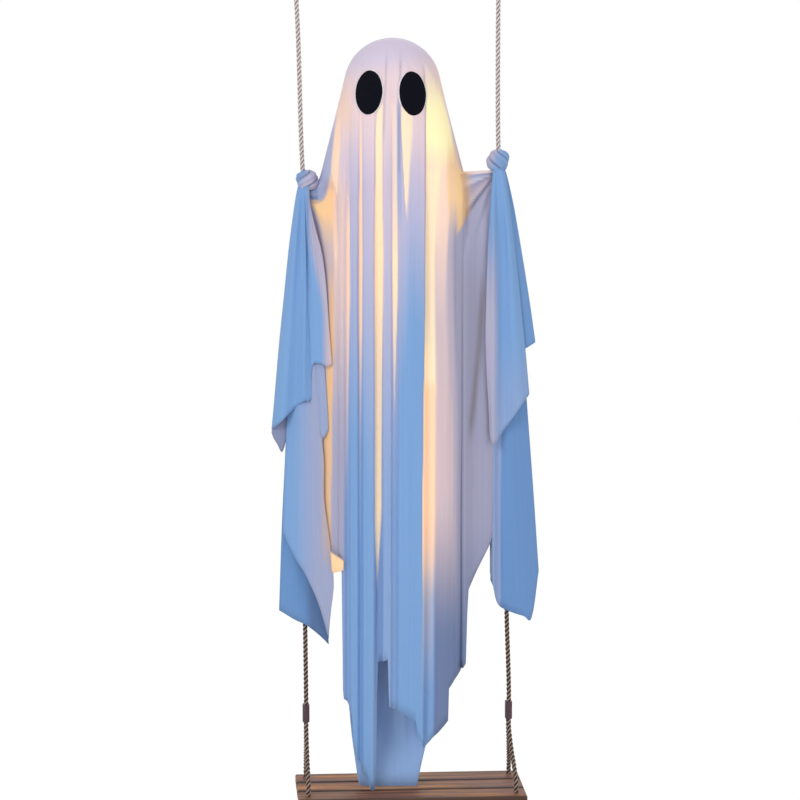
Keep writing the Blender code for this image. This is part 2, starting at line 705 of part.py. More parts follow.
def arm_ridge(side, x):
    """Height of the cloth's fold over the crossbar."""
    if side < 0:
        return bar_z(x) + BAR_DIAMETER / 2 + CLOTH + ARM_WAVE
    return through(RIGHT_ARM_RIDGE, x)


def make_arm(name, side, xs, front_hem, back_hem, half_depth):
    """Cloth laid over the crossbar between the shoulder and the knot, hanging front and back."""
    mesh = bpy.data.meshes.new(name)
    bm = bmesh.new()
    columns = []
    for i, x in enumerate(xs):
        ridge = arm_ridge(side, x)
        wave = ARM_WAVE * (-1) ** i
        column = []
        for t in (1.0, 0.75, 0.5, 0.25, 0.08):
            depth = lerp(half_depth * 0.75, half_depth, t) + wave * t
            column.append((x, -depth, lerp(ridge - ARM_CREST, front_hem[i], t)))
        for k in range(5):
            angle = math.pi * (k + 0.5) / 5
            radius = half_depth * 0.75
            column.append((x, -radius * math.cos(angle), ridge - ARM_CREST * (1 - math.sin(angle))))
        for t in (0.08, 0.25, 0.5, 0.75, 1.0):
            depth = lerp(half_depth * 0.75, half_depth, t) - wave * t
            column.append((x, depth, lerp(ridge - ARM_CREST, back_hem[i], t)))
        columns.append([bm.verts.new(p) for p in column])
    for a, b in zip(columns, columns[1:]):
        for k in range(len(a) - 1):
            bm.faces.new((a[k], b[k], b[k + 1], a[k + 1]))
    bmesh.ops.recalc_face_normals(bm, faces=bm.faces)
    bm.to_mesh(mesh)
    bm.free()
    ob = add_object(name, mesh, CLOTH_BLUE)
    thicken(ob, 0)
    return ob


LEFT_KNOT = (-0.1785, -0.004, 1.232)
RIGHT_KNOT = (0.1995, -0.004, 1.2690)
# Hem heights of the cloth under the arms, and how far out it reaches
LEFT_ARM_END = -0.176
RIGHT_ARM_END = 0.196
RIGHT_ARM_RIDGE = [(0.118, 1.262), (0.134, 1.249), (0.196, 1.249)]
LEFT_ARM_HEM = [(-0.176, 0.560), (-0.136, 0.480)]
RIGHT_ARM_HEM = [(0.122, 0.385), (0.136, 0.407), (0.184, 0.500), (0.196, 0.520)]


def body_edge(side, z):
    half, middle = side_reach(z)
    return middle + side * half


def make_sheet(lines):
    body = make_body()
    for word, side in (("left", -1), ("right", 1)):
        edge = body_edge(side, bar_z(BODY_X + side * BODY_HALF_WIDTH))
        high = bar_z(edge) + BAR_DIAMETER / 2 + BAR_HEADROOM
        passage = box(f"arm_passage_{word}", (PASSAGE_LENGTH, PASSAGE_DEPTH, PASSAGE_DROP),
                      (edge, 0, high - PASSAGE_DROP / 2), CLOTH_BLUE)
        boolean(body, passage, "DIFFERENCE")
    arm_start = body_edge(1, BAR_RIGHT_Z) - ARM_OVERLAP
    right_x = [lerp(arm_start, RIGHT_ARM_END, k / 6) for k in range(7)]
    right_hem = [through(RIGHT_ARM_HEM, x) for x in right_x]
    arm_right = make_arm("arm_right", 1, right_x, right_hem, [h + 0.02 for h in right_hem],
                         ARM_HALF_DEPTH)
    arm_start = body_edge(-1, BAR_LEFT_Z) + ARM_OVERLAP / 2
    left_x = [lerp(LEFT_ARM_END, arm_start, k / 4) for k in range(5)]
    left_hem = [through(LEFT_ARM_HEM, x) for x in left_x]
    arm_left = make_arm("arm_left", -1, left_x, left_hem, left_hem, ARM_HALF_DEPTH - 0.002)
    pieces = [arm_right, arm_left]
    for word, flaps in (("left", LEFT_FLAPS), ("right", RIGHT_FLAPS)):
        pieces += [make_flap(f"flap_{word}_{key}", fold_lines) for key, fold_lines in flaps.items()]
    for word, centre, phase in (("left", LEFT_KNOT, 0.4), ("right", RIGHT_KNOT, 1.7)):
        knot = make_knot(f"knot_{word}", centre, phase)
        cutter = bore(f"knot_bore_{word}", lines[word], ROPE_DIAMETER / 2 + ROPE_CLEARANCE)
        boolean(knot, cutter, "DIFFERENCE")
        pieces.append(knot)
    for piece in pieces:
        boolean(body, piece, "UNION")
    return body


def make_eyes():
    """Felt ovals that follow the curve of the face."""
    rings, sides = 3, 24
    for name, (x0, z0, lean) in EYES.items():
        mesh = bpy.data.meshes.new(name)
        bm = bmesh.new()
        layers = []
        for lift in (EYE_LIFT, EYE_LIFT + EYE_THICKNESS):
            layer = []
            for j in range(rings + 1):
                loop = []
                for k in range(sides if j else 1):
                    angle = 2 * math.pi * k / sides
                    u = EYE_SIZE[0] / 2 * j / rings * math.cos(angle)
                    v = EYE_SIZE[1] / 2 * j / rings * math.sin(angle)
                    x = x0 + u * math.cos(EYE_TILT) + lean * v * math.sin(EYE_TILT)
                    z = z0 - lean * u * math.sin(EYE_TILT) + v * math.cos(EYE_TILT)
                    half, middle = side_reach(z)
                    turn = -math.acos(max(-1, min(1, (x - middle) / half)))
                    rise = max(0, z - (HEAD_TOP_Z - HEAD_RADIUS)) / HEAD_RADIUS
                    out = Vector((math.cos(turn), math.sin(turn), rise)).normalized()
                    place = cloth_point(turn, turned(turn, z, True), z) + out * lift
                    loop.append(bm.verts.new(place))
                layer.append(loop)
            layers.append(layer)
        for layer in layers:
            centre = layer[0][0]
            for k in range(sides):
                m = (k + 1) % sides
                bm.faces.new((centre, layer[1][k], layer[1][m]))
                for j in range(1, rings):
                    bm.faces.new((layer[j][k], layer[j + 1][k], layer[j + 1][m], layer[j][m]))
        for k in range(sides):
            m = (k + 1) % sides
            bm.faces.new((layers[0][rings][k], layers[1][rings][k], layers[1][rings][m],
                          layers[0][rings][m]))
        bmesh.ops.recalc_face_normals(bm, faces=bm.faces)
        bm.to_mesh(mesh)
        bm.free()
        add_object(name, mesh, FELT_NAVY, smooth=True)


rope_lines = make_ropes()
make_seat(rope_lines)
make_inner_frame()
make_sheet(rope_lines)
make_eyes()
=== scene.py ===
# Looks of a fabric ghost that hangs on a small wooden swing and is lit from inside.
# Metres, +Z up, the ghost faces -Y. Heights here are above the seat's top face, as in the part's source,
# and HANG_HEIGHT takes them to the frame, whose origin lies midway between the two hanging loops.
import math

import bmesh
import bpy
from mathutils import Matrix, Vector, noise


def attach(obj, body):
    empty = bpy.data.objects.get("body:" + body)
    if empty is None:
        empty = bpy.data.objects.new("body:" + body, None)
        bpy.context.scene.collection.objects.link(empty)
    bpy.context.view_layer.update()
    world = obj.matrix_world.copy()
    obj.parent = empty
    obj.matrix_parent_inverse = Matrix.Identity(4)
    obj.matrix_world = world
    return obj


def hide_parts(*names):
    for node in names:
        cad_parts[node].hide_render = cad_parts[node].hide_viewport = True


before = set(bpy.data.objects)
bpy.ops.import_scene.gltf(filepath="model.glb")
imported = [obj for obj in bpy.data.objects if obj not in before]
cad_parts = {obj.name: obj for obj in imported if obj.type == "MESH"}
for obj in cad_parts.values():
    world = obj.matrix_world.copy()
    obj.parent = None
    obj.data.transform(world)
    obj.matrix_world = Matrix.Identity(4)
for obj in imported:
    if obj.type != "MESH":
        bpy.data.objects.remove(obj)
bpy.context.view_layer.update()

HANG_HEIGHT = 1.695

# Ropes
ROPE_DIAMETER = 0.010
ROPE_PITCH = ROPE_DIAMETER + 0.0006
LOOP_INNER_RADIUS = 0.020
ROPE_TOP_X = 0.1993
STRAND_LEAD = 0.0276
WHIPPING_HEIGHT = 0.036
LOW_WHIPPING_Z = 0.154
TOP_WHIPPING_Z = 1.614
LEG_SPREAD = 0.0012
UNDER_SEAT_GAP = 0.004
ROUTE_STEP = 0.012
ROPE_STEP = 0.0022

# Seat
SLAT_WIDTH = 0.062
SLAT_GAP = 0.007
SLAT_THICKNESS = 0.018
SEAT_X = 0.0255
HOLE_HALF_SPAN = 0.2095
HOLE_Y = 0.072

# Ghost
HEAD_X = -0.010
HEAD_RADIUS = 0.095
HEAD_TOP_Z = 1.511
HEAD_SLOPE = 0.2375
SHOULDER_Z = 1.245
WAIST_Z = 1.190
BODY_X = 0.005
BODY_HALF_WIDTH = 0.134
KNOT_RADIUS = 0.0215
PLEAT_DEPTH = 0.0085
CLOTH_THICKNESS = 0.0009
GLOW_STRENGTH = 0.16
PLEAT_STRAIGHT = 0.6
CROWN_FAN_Z = 1.505
CROWN_FAN_DROP = 0.060
SECTION_POWER = 0.75
SECTION_TOP_Z = 1.400
SECTION_DROP = 0.300
BROW_Z = 1.420

# Camera, at the photograph's viewing angle
CAMERA_AZIMUTH = math.radians(-4)
CAMERA_ELEVATION = math.radians(8)
CAMERA_DISTANCE = 6.0
CAMERA_TARGET = (0.0053, 0.0, 0.7918)
CAMERA_LENS = 135


def lerp(a, b, t):
    return a + (b - a) * t


def smoothstep(t):
    t = min(max(t, 0.0), 1.0)
    return t * t * (3 - 2 * t)


def above(value, start, span):
    """0 up to start, then a smooth rise to 1 a span above it."""
    return smoothstep((value - start) / span)


def below(value, start, span):
    """0 down to start, then a smooth rise to 1 a span below it."""
    return smoothstep((start - value) / span)


def through(points, value):
    """Read a profile, a list of (position, result) pairs in rising order."""
    if value <= points[0][0]:
        return points[0][1]
    for (a, first), (b, second) in zip(points, points[1:]):
        if value <= b:
            return lerp(first, second, (value - a) / (b - a))
    return points[-1][1]


def catmull(p0, p1, p2, p3, t):
    return 0.5 * ((2 * p1) + (p2 - p0) * t + (2 * p0 - 5 * p1 + 4 * p2 - p3) * t * t
                  + (3 * p1 - p0 - 3 * p2 + p3) * t ** 3)


def srgb(r, g, b):
    """Linear colour of an 8-bit sRGB one."""
    def one(c):
        c /= 255
        return c / 12.92 if c <= 0.04045 else ((c + 0.055) / 1.055) ** 2.4
    return (one(r), one(g), one(b))


def mix_colour(a, b, t):
    return tuple(lerp(p, q, t) for p, q in zip(a, b))


# Materials

class Shader:
    """A Principled material and short calls for the nodes that feed it."""

    def __init__(self, name, roughness, sheen=0.0):
        self.mat = bpy.data.materials.new(name)
        self.mat.use_nodes = True
        self.tree = self.mat.node_tree
        self.bsdf = self.tree.nodes["Principled BSDF"]
        self.bsdf.inputs["Roughness"].default_value = roughness
        self.bsdf.inputs["Sheen Weight"].default_value = sheen

    def node(self, kind, **values):
        made = self.tree.nodes.new(kind)
        for key, value in values.items():
            setattr(made, key, value)
        return made

    def link(self, out, into):
        self.tree.links.new(out, into)

    def position(self):
        return self.node("ShaderNodeTexCoord").outputs["Object"]

    def attribute(self, name, output):
        return self.node("ShaderNodeAttribute", attribute_name=name).outputs[output]

    def scaled(self, vector, scale):
        mapping = self.node("ShaderNodeMapping")
        mapping.inputs["Scale"].default_value = scale
        self.link(vector, mapping.inputs["Vector"])
        return mapping.outputs["Vector"]

    def noise(self, vector, scale, detail=3.0, roughness=0.5):
        made = self.node("ShaderNodeTexNoise")
        made.inputs["Scale"].default_value = scale
        made.inputs["Detail"].default_value = detail
        made.inputs["Roughness"].default_value = roughness
        self.link(vector, made.inputs["Vector"])
        return made.outputs["Fac"]

    def wave(self, vector, scale, direction):
        made = self.node("ShaderNodeTexWave", wave_type="BANDS", bands_direction=direction)
        made.inputs["Scale"].default_value = scale
        self.link(vector, made.inputs["Vector"])
        return made.outputs["Fac"]

    def math(self, operation, a, b):
        made = self.node("ShaderNodeMath", operation=operation)
        for socket, value in zip(made.inputs, (a, b)):
            if isinstance(value, (int, float)):
                socket.default_value = value
            else:
                self.link(value, socket)
        return made.outputs[0]

    def span(self, value, low, high, to_low=0.0, to_high=1.0):
        made = self.node("ShaderNodeMapRange")
        for key, number in (("From Min", low), ("From Max", high), ("To Min", to_low), ("To Max", to_high)):
            made.inputs[key].default_value = number
        self.link(value, made.inputs["Value"])
        return made.outputs["Result"]

    def mix(self, factor, a, b, blend="MIX"):
        made = self.node("ShaderNodeMix", data_type="RGBA", blend_type=blend)
        for socket, value in ((made.inputs["Factor"], factor), (made.inputs["A"], a), (made.inputs["B"], b)):
            if isinstance(value, (int, float)):
                socket.default_value = value
            elif isinstance(value, tuple):
                socket.default_value = (*value, 1)
            else:
                self.link(value, socket)
        return made.outputs["Result"]

    def ramp(self, factor, stops):
        made = self.node("ShaderNodeValToRGB")
        while len(made.color_ramp.elements) < len(stops):
            made.color_ramp.elements.new(0.5)
        for element, (place, colour) in zip(made.color_ramp.elements, stops):
            element.position = place
            element.color = (*colour, 1)
        self.link(factor, made.inputs["Fac"])
        return made.outputs["Color"]

    def bump(self, *layers):
        """Stack bumps, each (height, strength, distance)."""
        normal = None
        for height, strength, distance in layers:
            made = self.node("ShaderNodeBump")
            made.inputs["Strength"].default_value = strength
            made.inputs["Distance"].default_value = distance
            self.link(height, made.inputs["Height"])
            if normal:
                self.link(normal, made.inputs["Normal"])
            normal = made.outputs["Normal"]
        self.link(normal, self.bsdf.inputs["Normal"])

    def base(self, colour):
        self.link(colour, self.bsdf.inputs["Base Color"])


def cloth_material():
    """Thin plain-weave white sheet whose painted light colour and painted inner glow come from the cloth's
    own attributes.
    """
    s = Shader("sheet_cloth", 0.85, 0.15)
    thread = s.attribute("thread", "Vector")
    # The colour attribute is painted light on the white cloth: blues and lilacs of the cool light, warm tints
    # of the inner lamp.
    dye = s.attribute("dye", "Color")
    glow = s.attribute("glow", "Fac")
    streak = s.noise(s.scaled(thread, (220, 2.5, 1)), 1.0, 4.0)
    slub = s.noise(s.scaled(thread, (900, 900, 1)), 1.0, 2.0, 0.7)
    tone = s.math("ADD", s.span(streak, 0.3, 0.7, 0.955, 1.025), s.span(slub, 0.3, 0.7, -0.035, 0.035))
    grey = s.node("ShaderNodeCombineColor")
    for channel in grey.inputs[:3]:
        s.link(tone, channel)
    s.base(s.mix(1.0, dye, grey.outputs["Color"], "MULTIPLY"))
    # The cloth is no lamp: its emission is painted glow of the hidden light strip shining through.
    s.link(s.mix(0.3, dye, srgb(255, 205, 135)), s.bsdf.inputs["Emission Color"])
    s.link(s.math("MULTIPLY", glow, GLOW_STRENGTH), s.bsdf.inputs["Emission Strength"])
    weave = s.math("MULTIPLY", s.wave(thread, 260, "X"), s.wave(thread, 260, "Y"))
    s.bump((s.noise(s.scaled(thread, (28, 6, 1)), 1.0, 4.0), 0.35, 0.0025), (weave, 0.35, 0.0003))
    return s.mat


def felt_material():
    s = Shader("eye_felt", 0.95)
    s.bsdf.inputs["Specular IOR Level"].default_value = 0.12
    place = s.position()
    fuzz = s.noise(place, 900, 4.0, 0.7)
    s.base(s.mix(s.span(fuzz, 0.35, 0.75), srgb(4, 5, 10), srgb(18, 20, 34)))
    s.bump((fuzz, 0.6, 0.0006), (s.noise(place, 120, 3.0), 0.3, 0.0008))
    return s.mat


def felt_edge_material():
    s = Shader("eye_edge", 0.9, 0.2)
    fuzz = s.noise(s.position(), 700, 3.0)
    s.base(s.mix(s.span(fuzz, 0.3, 0.7), srgb(226, 214, 226), srgb(246, 238, 238)))
    s.bump((fuzz, 0.4, 0.0004))
    return s.mat


def rope_material():
    """Three-strand rope, paler above and darker towards the seat, with painted shade in the grooves between
    strands and painted highlights on their crowns.
    """
    s = Shader("twisted_rope", 0.9, 0.2)
    place = s.position()
    height = s.node("ShaderNodeSeparateXYZ")
    s.link(place, height.inputs["Vector"])
    low = s.span(height.outputs["Z"], -0.55, -1.30)
    crown = s.attribute("crown", "Fac")
    fibre = s.noise(s.scaled(place, (600, 600, 140)), 1.0, 4.0, 0.6)
    # The crown ramps paint shade into the grooves (0) and highlights onto the strands' crowns (1).
    top = s.ramp(crown, [(0.0, srgb(74, 60, 60)), (0.45, srgb(176, 162, 160)), (1.0, srgb(236, 228, 226))])
    dark = s.ramp(crown, [(0.0, srgb(20, 12, 12)), (0.62, srgb(58, 42, 38)), (0.86, srgb(112, 90, 80)),
                          (1.0, srgb(182, 162, 146))])
    colour = s.mix(low, top, dark)
    s.base(s.mix(s.span(fibre, 0.35, 0.75, 0.0, 0.45), colour, srgb(120, 92, 84), "MULTIPLY"))
    s.bump((fibre, 0.5, 0.0005))
    return s.mat


def thread_material():
    s = Shader("whipping_thread", 0.75, 0.1)
    place = s.position()
    fine = s.noise(place, 500, 3.0)
    s.base(s.mix(s.span(fine, 0.3, 0.7), srgb(58, 40, 48), srgb(92, 68, 76)))
    s.bump((fine, 0.4, 0.0004))
    return s.mat


def seat_material():
    """Stained, weathered boards: long grain, with painted shade darkening each board towards its edges."""
    s = Shader("seat_wood", 0.62)
    place = s.position()
    grain = s.noise(s.scaled(place, (4, 90, 90)), 1.0, 8.0, 0.65)
    fine = s.noise(s.scaled(place, (22, 700, 700)), 1.0, 6.0, 0.7)
    patch = s.noise(s.scaled(place, (6, 14, 14)), 1.0, 3.0)
    parts = s.node("ShaderNodeSeparateXYZ")
    s.link(place, parts.inputs["Vector"])
    pitch = SLAT_WIDTH + SLAT_GAP
    # Painted shade: each board darkens towards its edges, where the valleys between the boards lie in shade.
    across = s.math("PINGPONG", s.math("ADD", parts.outputs["Y"], 3 * pitch), pitch / 2)
    edge = s.span(across, pitch / 2 - 0.016, pitch / 2 - 0.003)
    wood = s.ramp(s.span(grain, 0.32, 0.68), [(0.0, srgb(44, 24, 16)), (0.38, srgb(104, 64, 38)),
                                              (0.68, srgb(162, 104, 58)), (1.0, srgb(214, 160, 104))])
    red = s.mix(s.span(patch, 0.48, 0.62, 0.0, 0.5), wood, srgb(122, 84, 82))
    dark = s.mix(s.math("MULTIPLY", edge, 0.85), red, srgb(34, 18, 13))
    s.base(s.mix(s.span(fine, 0.62, 0.78, 0.0, 0.5), dark, srgb(38, 22, 16)))
    s.link(s.span(grain, 0.3, 0.7, 0.52, 0.75), s.bsdf.inputs["Roughness"])
    s.bump((grain, 0.5, 0.0015), (fine, 0.6, 0.0006))
    return s.mat


def dowel_material():
    s = Shader("pale_dowel", 0.6)
    grain = s.noise(s.scaled(s.position(), (160, 160, 8)), 1.0, 6.0, 0.6)
    s.base(s.mix(s.span(grain, 0.3, 0.7), srgb(178, 142, 100), srgb(214, 184, 142)))
    s.bump((grain, 0.3, 0.0005))
    return s.mat


def foam_material():
    s = Shader("foam_beads", 0.9)
    cell = s.node("ShaderNodeTexVoronoi")
    cell.inputs["Scale"].default_value = 260
    s.link(s.position(), cell.inputs["Vector"])
    s.base(s.mix(cell.outputs["Distance"], srgb(240, 239, 234), srgb(216, 214, 206)))
    s.bump((cell.outputs["Distance"], 0.5, 0.0008))
    return s.mat


def strip_material():
    """Warm light strip: a soft white cover with brighter spots where the lamps sit."""
    s = Shader("light_strip", 0.5)
    spots = s.wave(s.position(), 10.5, "Z")
    bright = s.span(spots, 0.55, 1.0)
    s.base(s.mix(bright, srgb(236, 214, 170), srgb(255, 240, 205)))
    s.bsdf.inputs["Emission Color"].default_value = (*srgb(255, 206, 138), 1)
    s.link(s.span(spots, 0.4, 1.0, 0.4, 1.6), s.bsdf.inputs["Emission Strength"])
    return s.mat


def box_material():
    s = Shader("battery_plastic", 0.5)
    grain = s.noise(s.position(), 1400, 2.0)
    s.base(s.mix(grain, srgb(26, 26, 28), srgb(44, 44, 47)))
    s.bump((grain, 0.3, 0.0002))
    return s.mat


CLOTH = cloth_material()
FELT = felt_material()
FELT_EDGE = felt_edge_material()
ROPE = rope_material()
THREAD = thread_material()
SEAT_WOOD = seat_material()
DOWEL = dowel_material()
FOAM = foam_material()
STRIP = strip_material()
BOX = box_material()


def paint(names, mat):
    for name in names:
        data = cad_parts[name].data
        data.materials.clear()
        data.materials.append(mat)


paint(["slat_front", "slat_middle", "slat_rear", "batten_left", "batten_right"], SEAT_WOOD)
paint(["crossbar", "upright"], DOWEL)
paint(["head_form"], FOAM)
paint(["light_strip_front", "light_strip_back"], STRIP)
paint(["battery_box"], BOX)


def add_piece(name, verts, faces, mat, floats=None, vectors=None, colours=None):
    """A mesh piece in the frame's place, from points given with heights above the seat."""
    mesh = bpy.data.meshes.new(name)
    mesh.from_pydata([(x, y, z - HANG_HEIGHT) for x, y, z in verts], [], faces)
    for key, values in (floats or {}).items():
        mesh.attributes.new(key, "FLOAT", "POINT").data.foreach_set("value", values)
    for key, values in (vectors or {}).items():
        flat = [c for v in values for c in v]
        mesh.attributes.new(key, "FLOAT_VECTOR", "POINT").data.foreach_set("vector", flat)
    for key, values in (colours or {}).items():
        flat = [c for v in values for c in (*v, 1.0)]
        mesh.attributes.new(key, "FLOAT_COLOR", "POINT").data.foreach_set("color", flat)
    mesh.materials.append(mat)
    mesh.validate()
    mesh.shade_smooth()
    ob = bpy.data.objects.new(name, mesh)
    bpy.context.collection.objects.link(ob)
    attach(ob, "root")
    return ob


# Ropes

LEFT_FALL = [(1.585, -0.1985), (1.262, -0.1880), (1.215, -0.1850), (0.345, -0.1865), (0.172, -0.1855)]
RIGHT_FALL = [(1.585, 0.1992), (1.300, 0.2005), (1.236, 0.2030), (0.345, 0.2220), (0.172, 0.2265)]


def rope_route(side):
    """The points of the part's own rope: round the eye, down, under the seat and up to the whipping."""
    fall = LEFT_FALL if side < 0 else RIGHT_FALL
    stand = side * ROPE_TOP_X
    inward = -side
    half = ROPE_PITCH / 2
    ring = LOOP_INNER_RADIUS + ROPE_DIAMETER / 2
    ring_z = HANG_HEIGHT - LOOP_INNER_RADIUS
    middle = stand + inward * half
    tail = stand + ROPE_PITCH * inward
    points = [(tail, 0, TOP_WHIPPING_Z + rise) for rise in (-0.012, 0.006, 0.019)]
    points.append((tail + LEG_SPREAD * inward, 0, TOP_WHIPPING_Z + 0.026))
    for turn in (-28, 10, 50, 90, 130, 170, 208):
        angle = math.radians(turn)
        points.append((middle + inward * ring * math.cos(angle), 0, ring_z + ring * math.sin(angle)))
    points.append((stand - LEG_SPREAD * inward, 0, TOP_WHIPPING_Z + 0.026))
    points += [(stand, 0, TOP_WHIPPING_Z + rise) for rise in (0.019, 0.006, -0.020)]
    points += [(x, 0, z) for z, x in fall[:-1]]
    leg_x = fall[-1][1]
    hole_x = SEAT_X + side * HOLE_HALF_SPAN
    top = LOW_WHIPPING_Z + WHIPPING_HEIGHT / 2
    bottom = LOW_WHIPPING_Z - WHIPPING_HEIGHT / 2
    under = -SLAT_THICKNESS - ROPE_DIAMETER / 2 - UNDER_SEAT_GAP
    leg = [
        (leg_x, half, bottom - 0.002),
        (leg_x, half + LEG_SPREAD, bottom - 0.014),
        (lerp(leg_x, hole_x, 0.3), 0.022, bottom - 0.048),
        (hole_x, HOLE_Y - 0.002, 0.022),
        (hole_x, HOLE_Y, 0.002),
        (hole_x, HOLE_Y - 0.006, under + 0.011),
        (hole_x, HOLE_Y - 0.022, under),
    ]
    points += [(leg_x, -half, top + rise) for rise in (0.022, 0.002)]
    points += [(x, -y, z) for x, y, z in leg] + [(hole_x, 0, under)] + leg[::-1]
    points.append((leg_x, half, top - 0.005))
    return [Vector(p) for p in points]


def smooth_line(route, spacing):
    line = []
    last = len(route) - 1
    for i in range(last):
        p1, p2 = route[i], route[i + 1]
        p0 = route[i - 1] if i else 2 * p1 - p2
        p3 = route[i + 2] if i < last - 1 else 2 * p2 - p1
        reach = (p2 - p1).length
        p0 = p1 + (p0 - p1) * (reach / max((p1 - p0).length, 1e-6))
        p3 = p2 + (p3 - p2) * (reach / max((p3 - p2).length, 1e-6))
        count = max(2, round(reach / spacing))
        line += [catmull(p0, p1, p2, p3, k / count) for k in range(count)]
    line.append(route[last])
    return line


def even_line(line, step):
    """The same line with points a fixed step apart."""
    total = sum((b - a).length for a, b in zip(line, line[1:]))
    count = round(total / step)
    out = [line[0]]
    walked = 0.0
    k = 1
    for a, b in zip(line, line[1:]):
        reach = (b - a).length
        while k < count and k * total / count <= walked + reach:
            out.append(a.lerp(b, (k * total / count - walked) / reach))
            k += 1
        walked += reach
    out.append(line[-1])
    return out, total


def twisted_rope(name, line):
    """Three laid strands as one grooved tube that turns along the line."""
    sides = 24
    strand_radius = 0.0026
    offset = ROPE_DIAMETER / 2 - strand_radius
    verts, faces, crown = [], [], []
    normal = None
    walked = 0.0
    for i, place in enumerate(line):
        ahead = line[min(i + 1, len(line) - 1)]
        behind = line[max(i - 1, 0)]
        along = (ahead - behind).normalized()
        if normal is None:
            normal = along.orthogonal().normalized()
        normal = (normal - along * normal.dot(along)).normalized()
        side = along.cross(normal)
        if i:
            walked += (place - line[i - 1]).length
        turn = 2 * math.pi * walked / STRAND_LEAD
        for k in range(sides):
            psi = 2 * math.pi * (k % (sides // 3)) / sides - math.pi / 3
            r = offset * math.cos(psi) + math.sqrt(max(strand_radius ** 2 - (offset * math.sin(psi)) ** 2, 0))
            angle = 2 * math.pi * k / sides + turn
            verts.append(place + (normal * math.cos(angle) + side * math.sin(angle)) * r)
            crown.append(math.cos(psi * 1.5) ** 0.7 if abs(psi) < math.pi / 3 - 1e-6 else 0.0)
        if i:
            start = len(verts) - 2 * sides
            for k in range(sides):
                m = (k + 1) % sides
                faces.append((start + k, start + m, start + sides + m, start + sides + k))
    faces.append(tuple(range(sides))[::-1])
    faces.append(tuple(range(len(verts) - sides, len(verts))))
    return add_piece(name, verts, faces, ROPE, floats={"crown": crown})


for word, side in (("left", -1), ("right", 1)):
    line, length = even_line(smooth_line(rope_route(side), ROUTE_STEP), ROPE_STEP)
    rope = twisted_rope(f"twisted_rope_{word}", line)
    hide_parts(f"rope_{word}")


# Whippings

def whipping(name, centre, turn, replaced):
    """Close turns of waxed thread round two strands, as a grooved sleeve with rolled ends."""
    turns = 15
    around = 40
    wall = 0.0021
    half_long = ROPE_PITCH / 2
    verts, faces = [], []
    rows = turns * 6
    for j in range(rows + 1):
        t = j / rows
        end = min(t, 1 - t) * turns
        lift = wall * (0.72 + 0.28 * abs(math.sin(math.pi * (t * turns)))) * smoothstep(end * 1.2 + 0.35)
        radius = ROPE_DIAMETER / 2 + lift
        z = centre[2] + (t - 0.5) * WHIPPING_HEIGHT
        for k in range(around):
            angle = 2 * math.pi * k / around
            x = radius * math.cos(angle)
            y = radius * math.sin(angle) + half_long * max(-1, min(1, math.sin(angle) * 4))
            if turn:
                x, y = y, x
            verts.append((centre[0] + x, centre[1] + y, z))
    for j in range(rows):
        for k in range(around):
            m = (k + 1) % around
            face = (j * around + k, j * around + m, (j + 1) * around + m, (j + 1) * around + k)
            faces.append(face[::-1] if turn else face)
    low = tuple(range(around))
    high = tuple(range(rows * around, (rows + 1) * around))
    faces.append(low if turn else low[::-1])
    faces.append(high[::-1] if turn else high)
    ob = add_piece(name, verts, faces, THREAD)
    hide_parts(replaced)


for word, side in (("left", -1), ("right", 1)):
    fall = LEFT_FALL if side < 0 else RIGHT_FALL
    whipping(f"thread_{word}_low", (fall[-1][1], 0, LOW_WHIPPING_Z), False, f"whipping_{word}_low")
    whipping(f"thread_{word}_top", (side * (ROPE_TOP_X - ROPE_PITCH / 2), 0, TOP_WHIPPING_Z), True,
             f"whipping_{word}_top")


# Sheet: the body and the arms

# Panels (+) and the gaps between them (-) across the front, by their x on the lower body
FRONT_FOLDS = [
    (-0.130, 0.0), (-0.127, 0.5), (-0.109, 0.7), (-0.1045, -0.3), (-0.098, -0.3), (-0.094, 0.6),
    (-0.083, 0.7), (-0.080, -0.3), (-0.074, -0.3), (-0.070, 0.7), (-0.052, 0.9), (-0.048, -0.8),
    (-0.037, -0.9), (-0.032, 0.8), (-0.019, 0.6), (-0.016, -0.2), (-0.006, -0.2), (-0.002, 0.6),
    (0.020, 0.9), (0.045, 1.0), (0.050, -0.8), (0.066, -0.5), (0.080, 0.3), (0.092, 0.5), (0.104, 0.3),
    (0.112, 0.1), (0.1225, 0.12), (0.1255, 0.0), (0.140, 0.0)]
FRONT_HEM = [
    (-0.130, 0.480), (-0.1100, 0.475), (-0.1085, 0.194), (-0.0925, 0.160), (-0.0890, 0.095),
    (-0.0757, 0.044), (-0.0737, 0.040), (-0.0619, 0.026), (-0.0560, 0.004), (-0.0480, 0.004),
    (-0.0455, 0.270), (-0.0235, 0.278), (-0.021, 0.180), (0.0315, 0.151), (0.036, 0.118), (0.050, 0.088),
    (0.0975, 0.146), (0.0985, 0.212), (0.118, 0.238), (0.131, 0.258), (0.140, 0.270)]
BACK_HEM = [
    (-0.130, 0.450), (-0.108, 0.440), (-0.103, 0.200), (-0.092, 0.100), (-0.080, 0.006), (0.038, 0.004),
    (0.047, 0.040), (0.062, 0.095), (0.095, 0.205), (0.122, 0.272), (0.140, 0.290)]
RIGHT_ARM_HEM = [(0.120, 0.240), (0.1365, 0.264), (0.138, 0.407), (0.184, 0.500), (0.192, 0.520)]
LEFT_ARM_HEM = [(-0.180, 0.510), (-0.140, 0.458), (-0.120, 0.462)]
FRONT_DEPTH = [(0.0, 0.050), (0.40, 0.078), (SHOULDER_Z, 0.094)]
BACK_DEPTH = [(0.0, -0.026), (0.12, 0.022), (0.60, 0.078), (SHOULDER_Z, 0.090)]
BACK_PLEATS = 7
ARM_EDGE_ANGLE = 0.44
RIGHT_ARM_END = 0.194
LEFT_ARM_END = -0.178
ARM_ROOF = 0.011
ROOF_LEFT_AT_KNOT = 0.86
ROOF_EDGE_DROP = 0.004
BACK_HEM_LIFT = 0.02
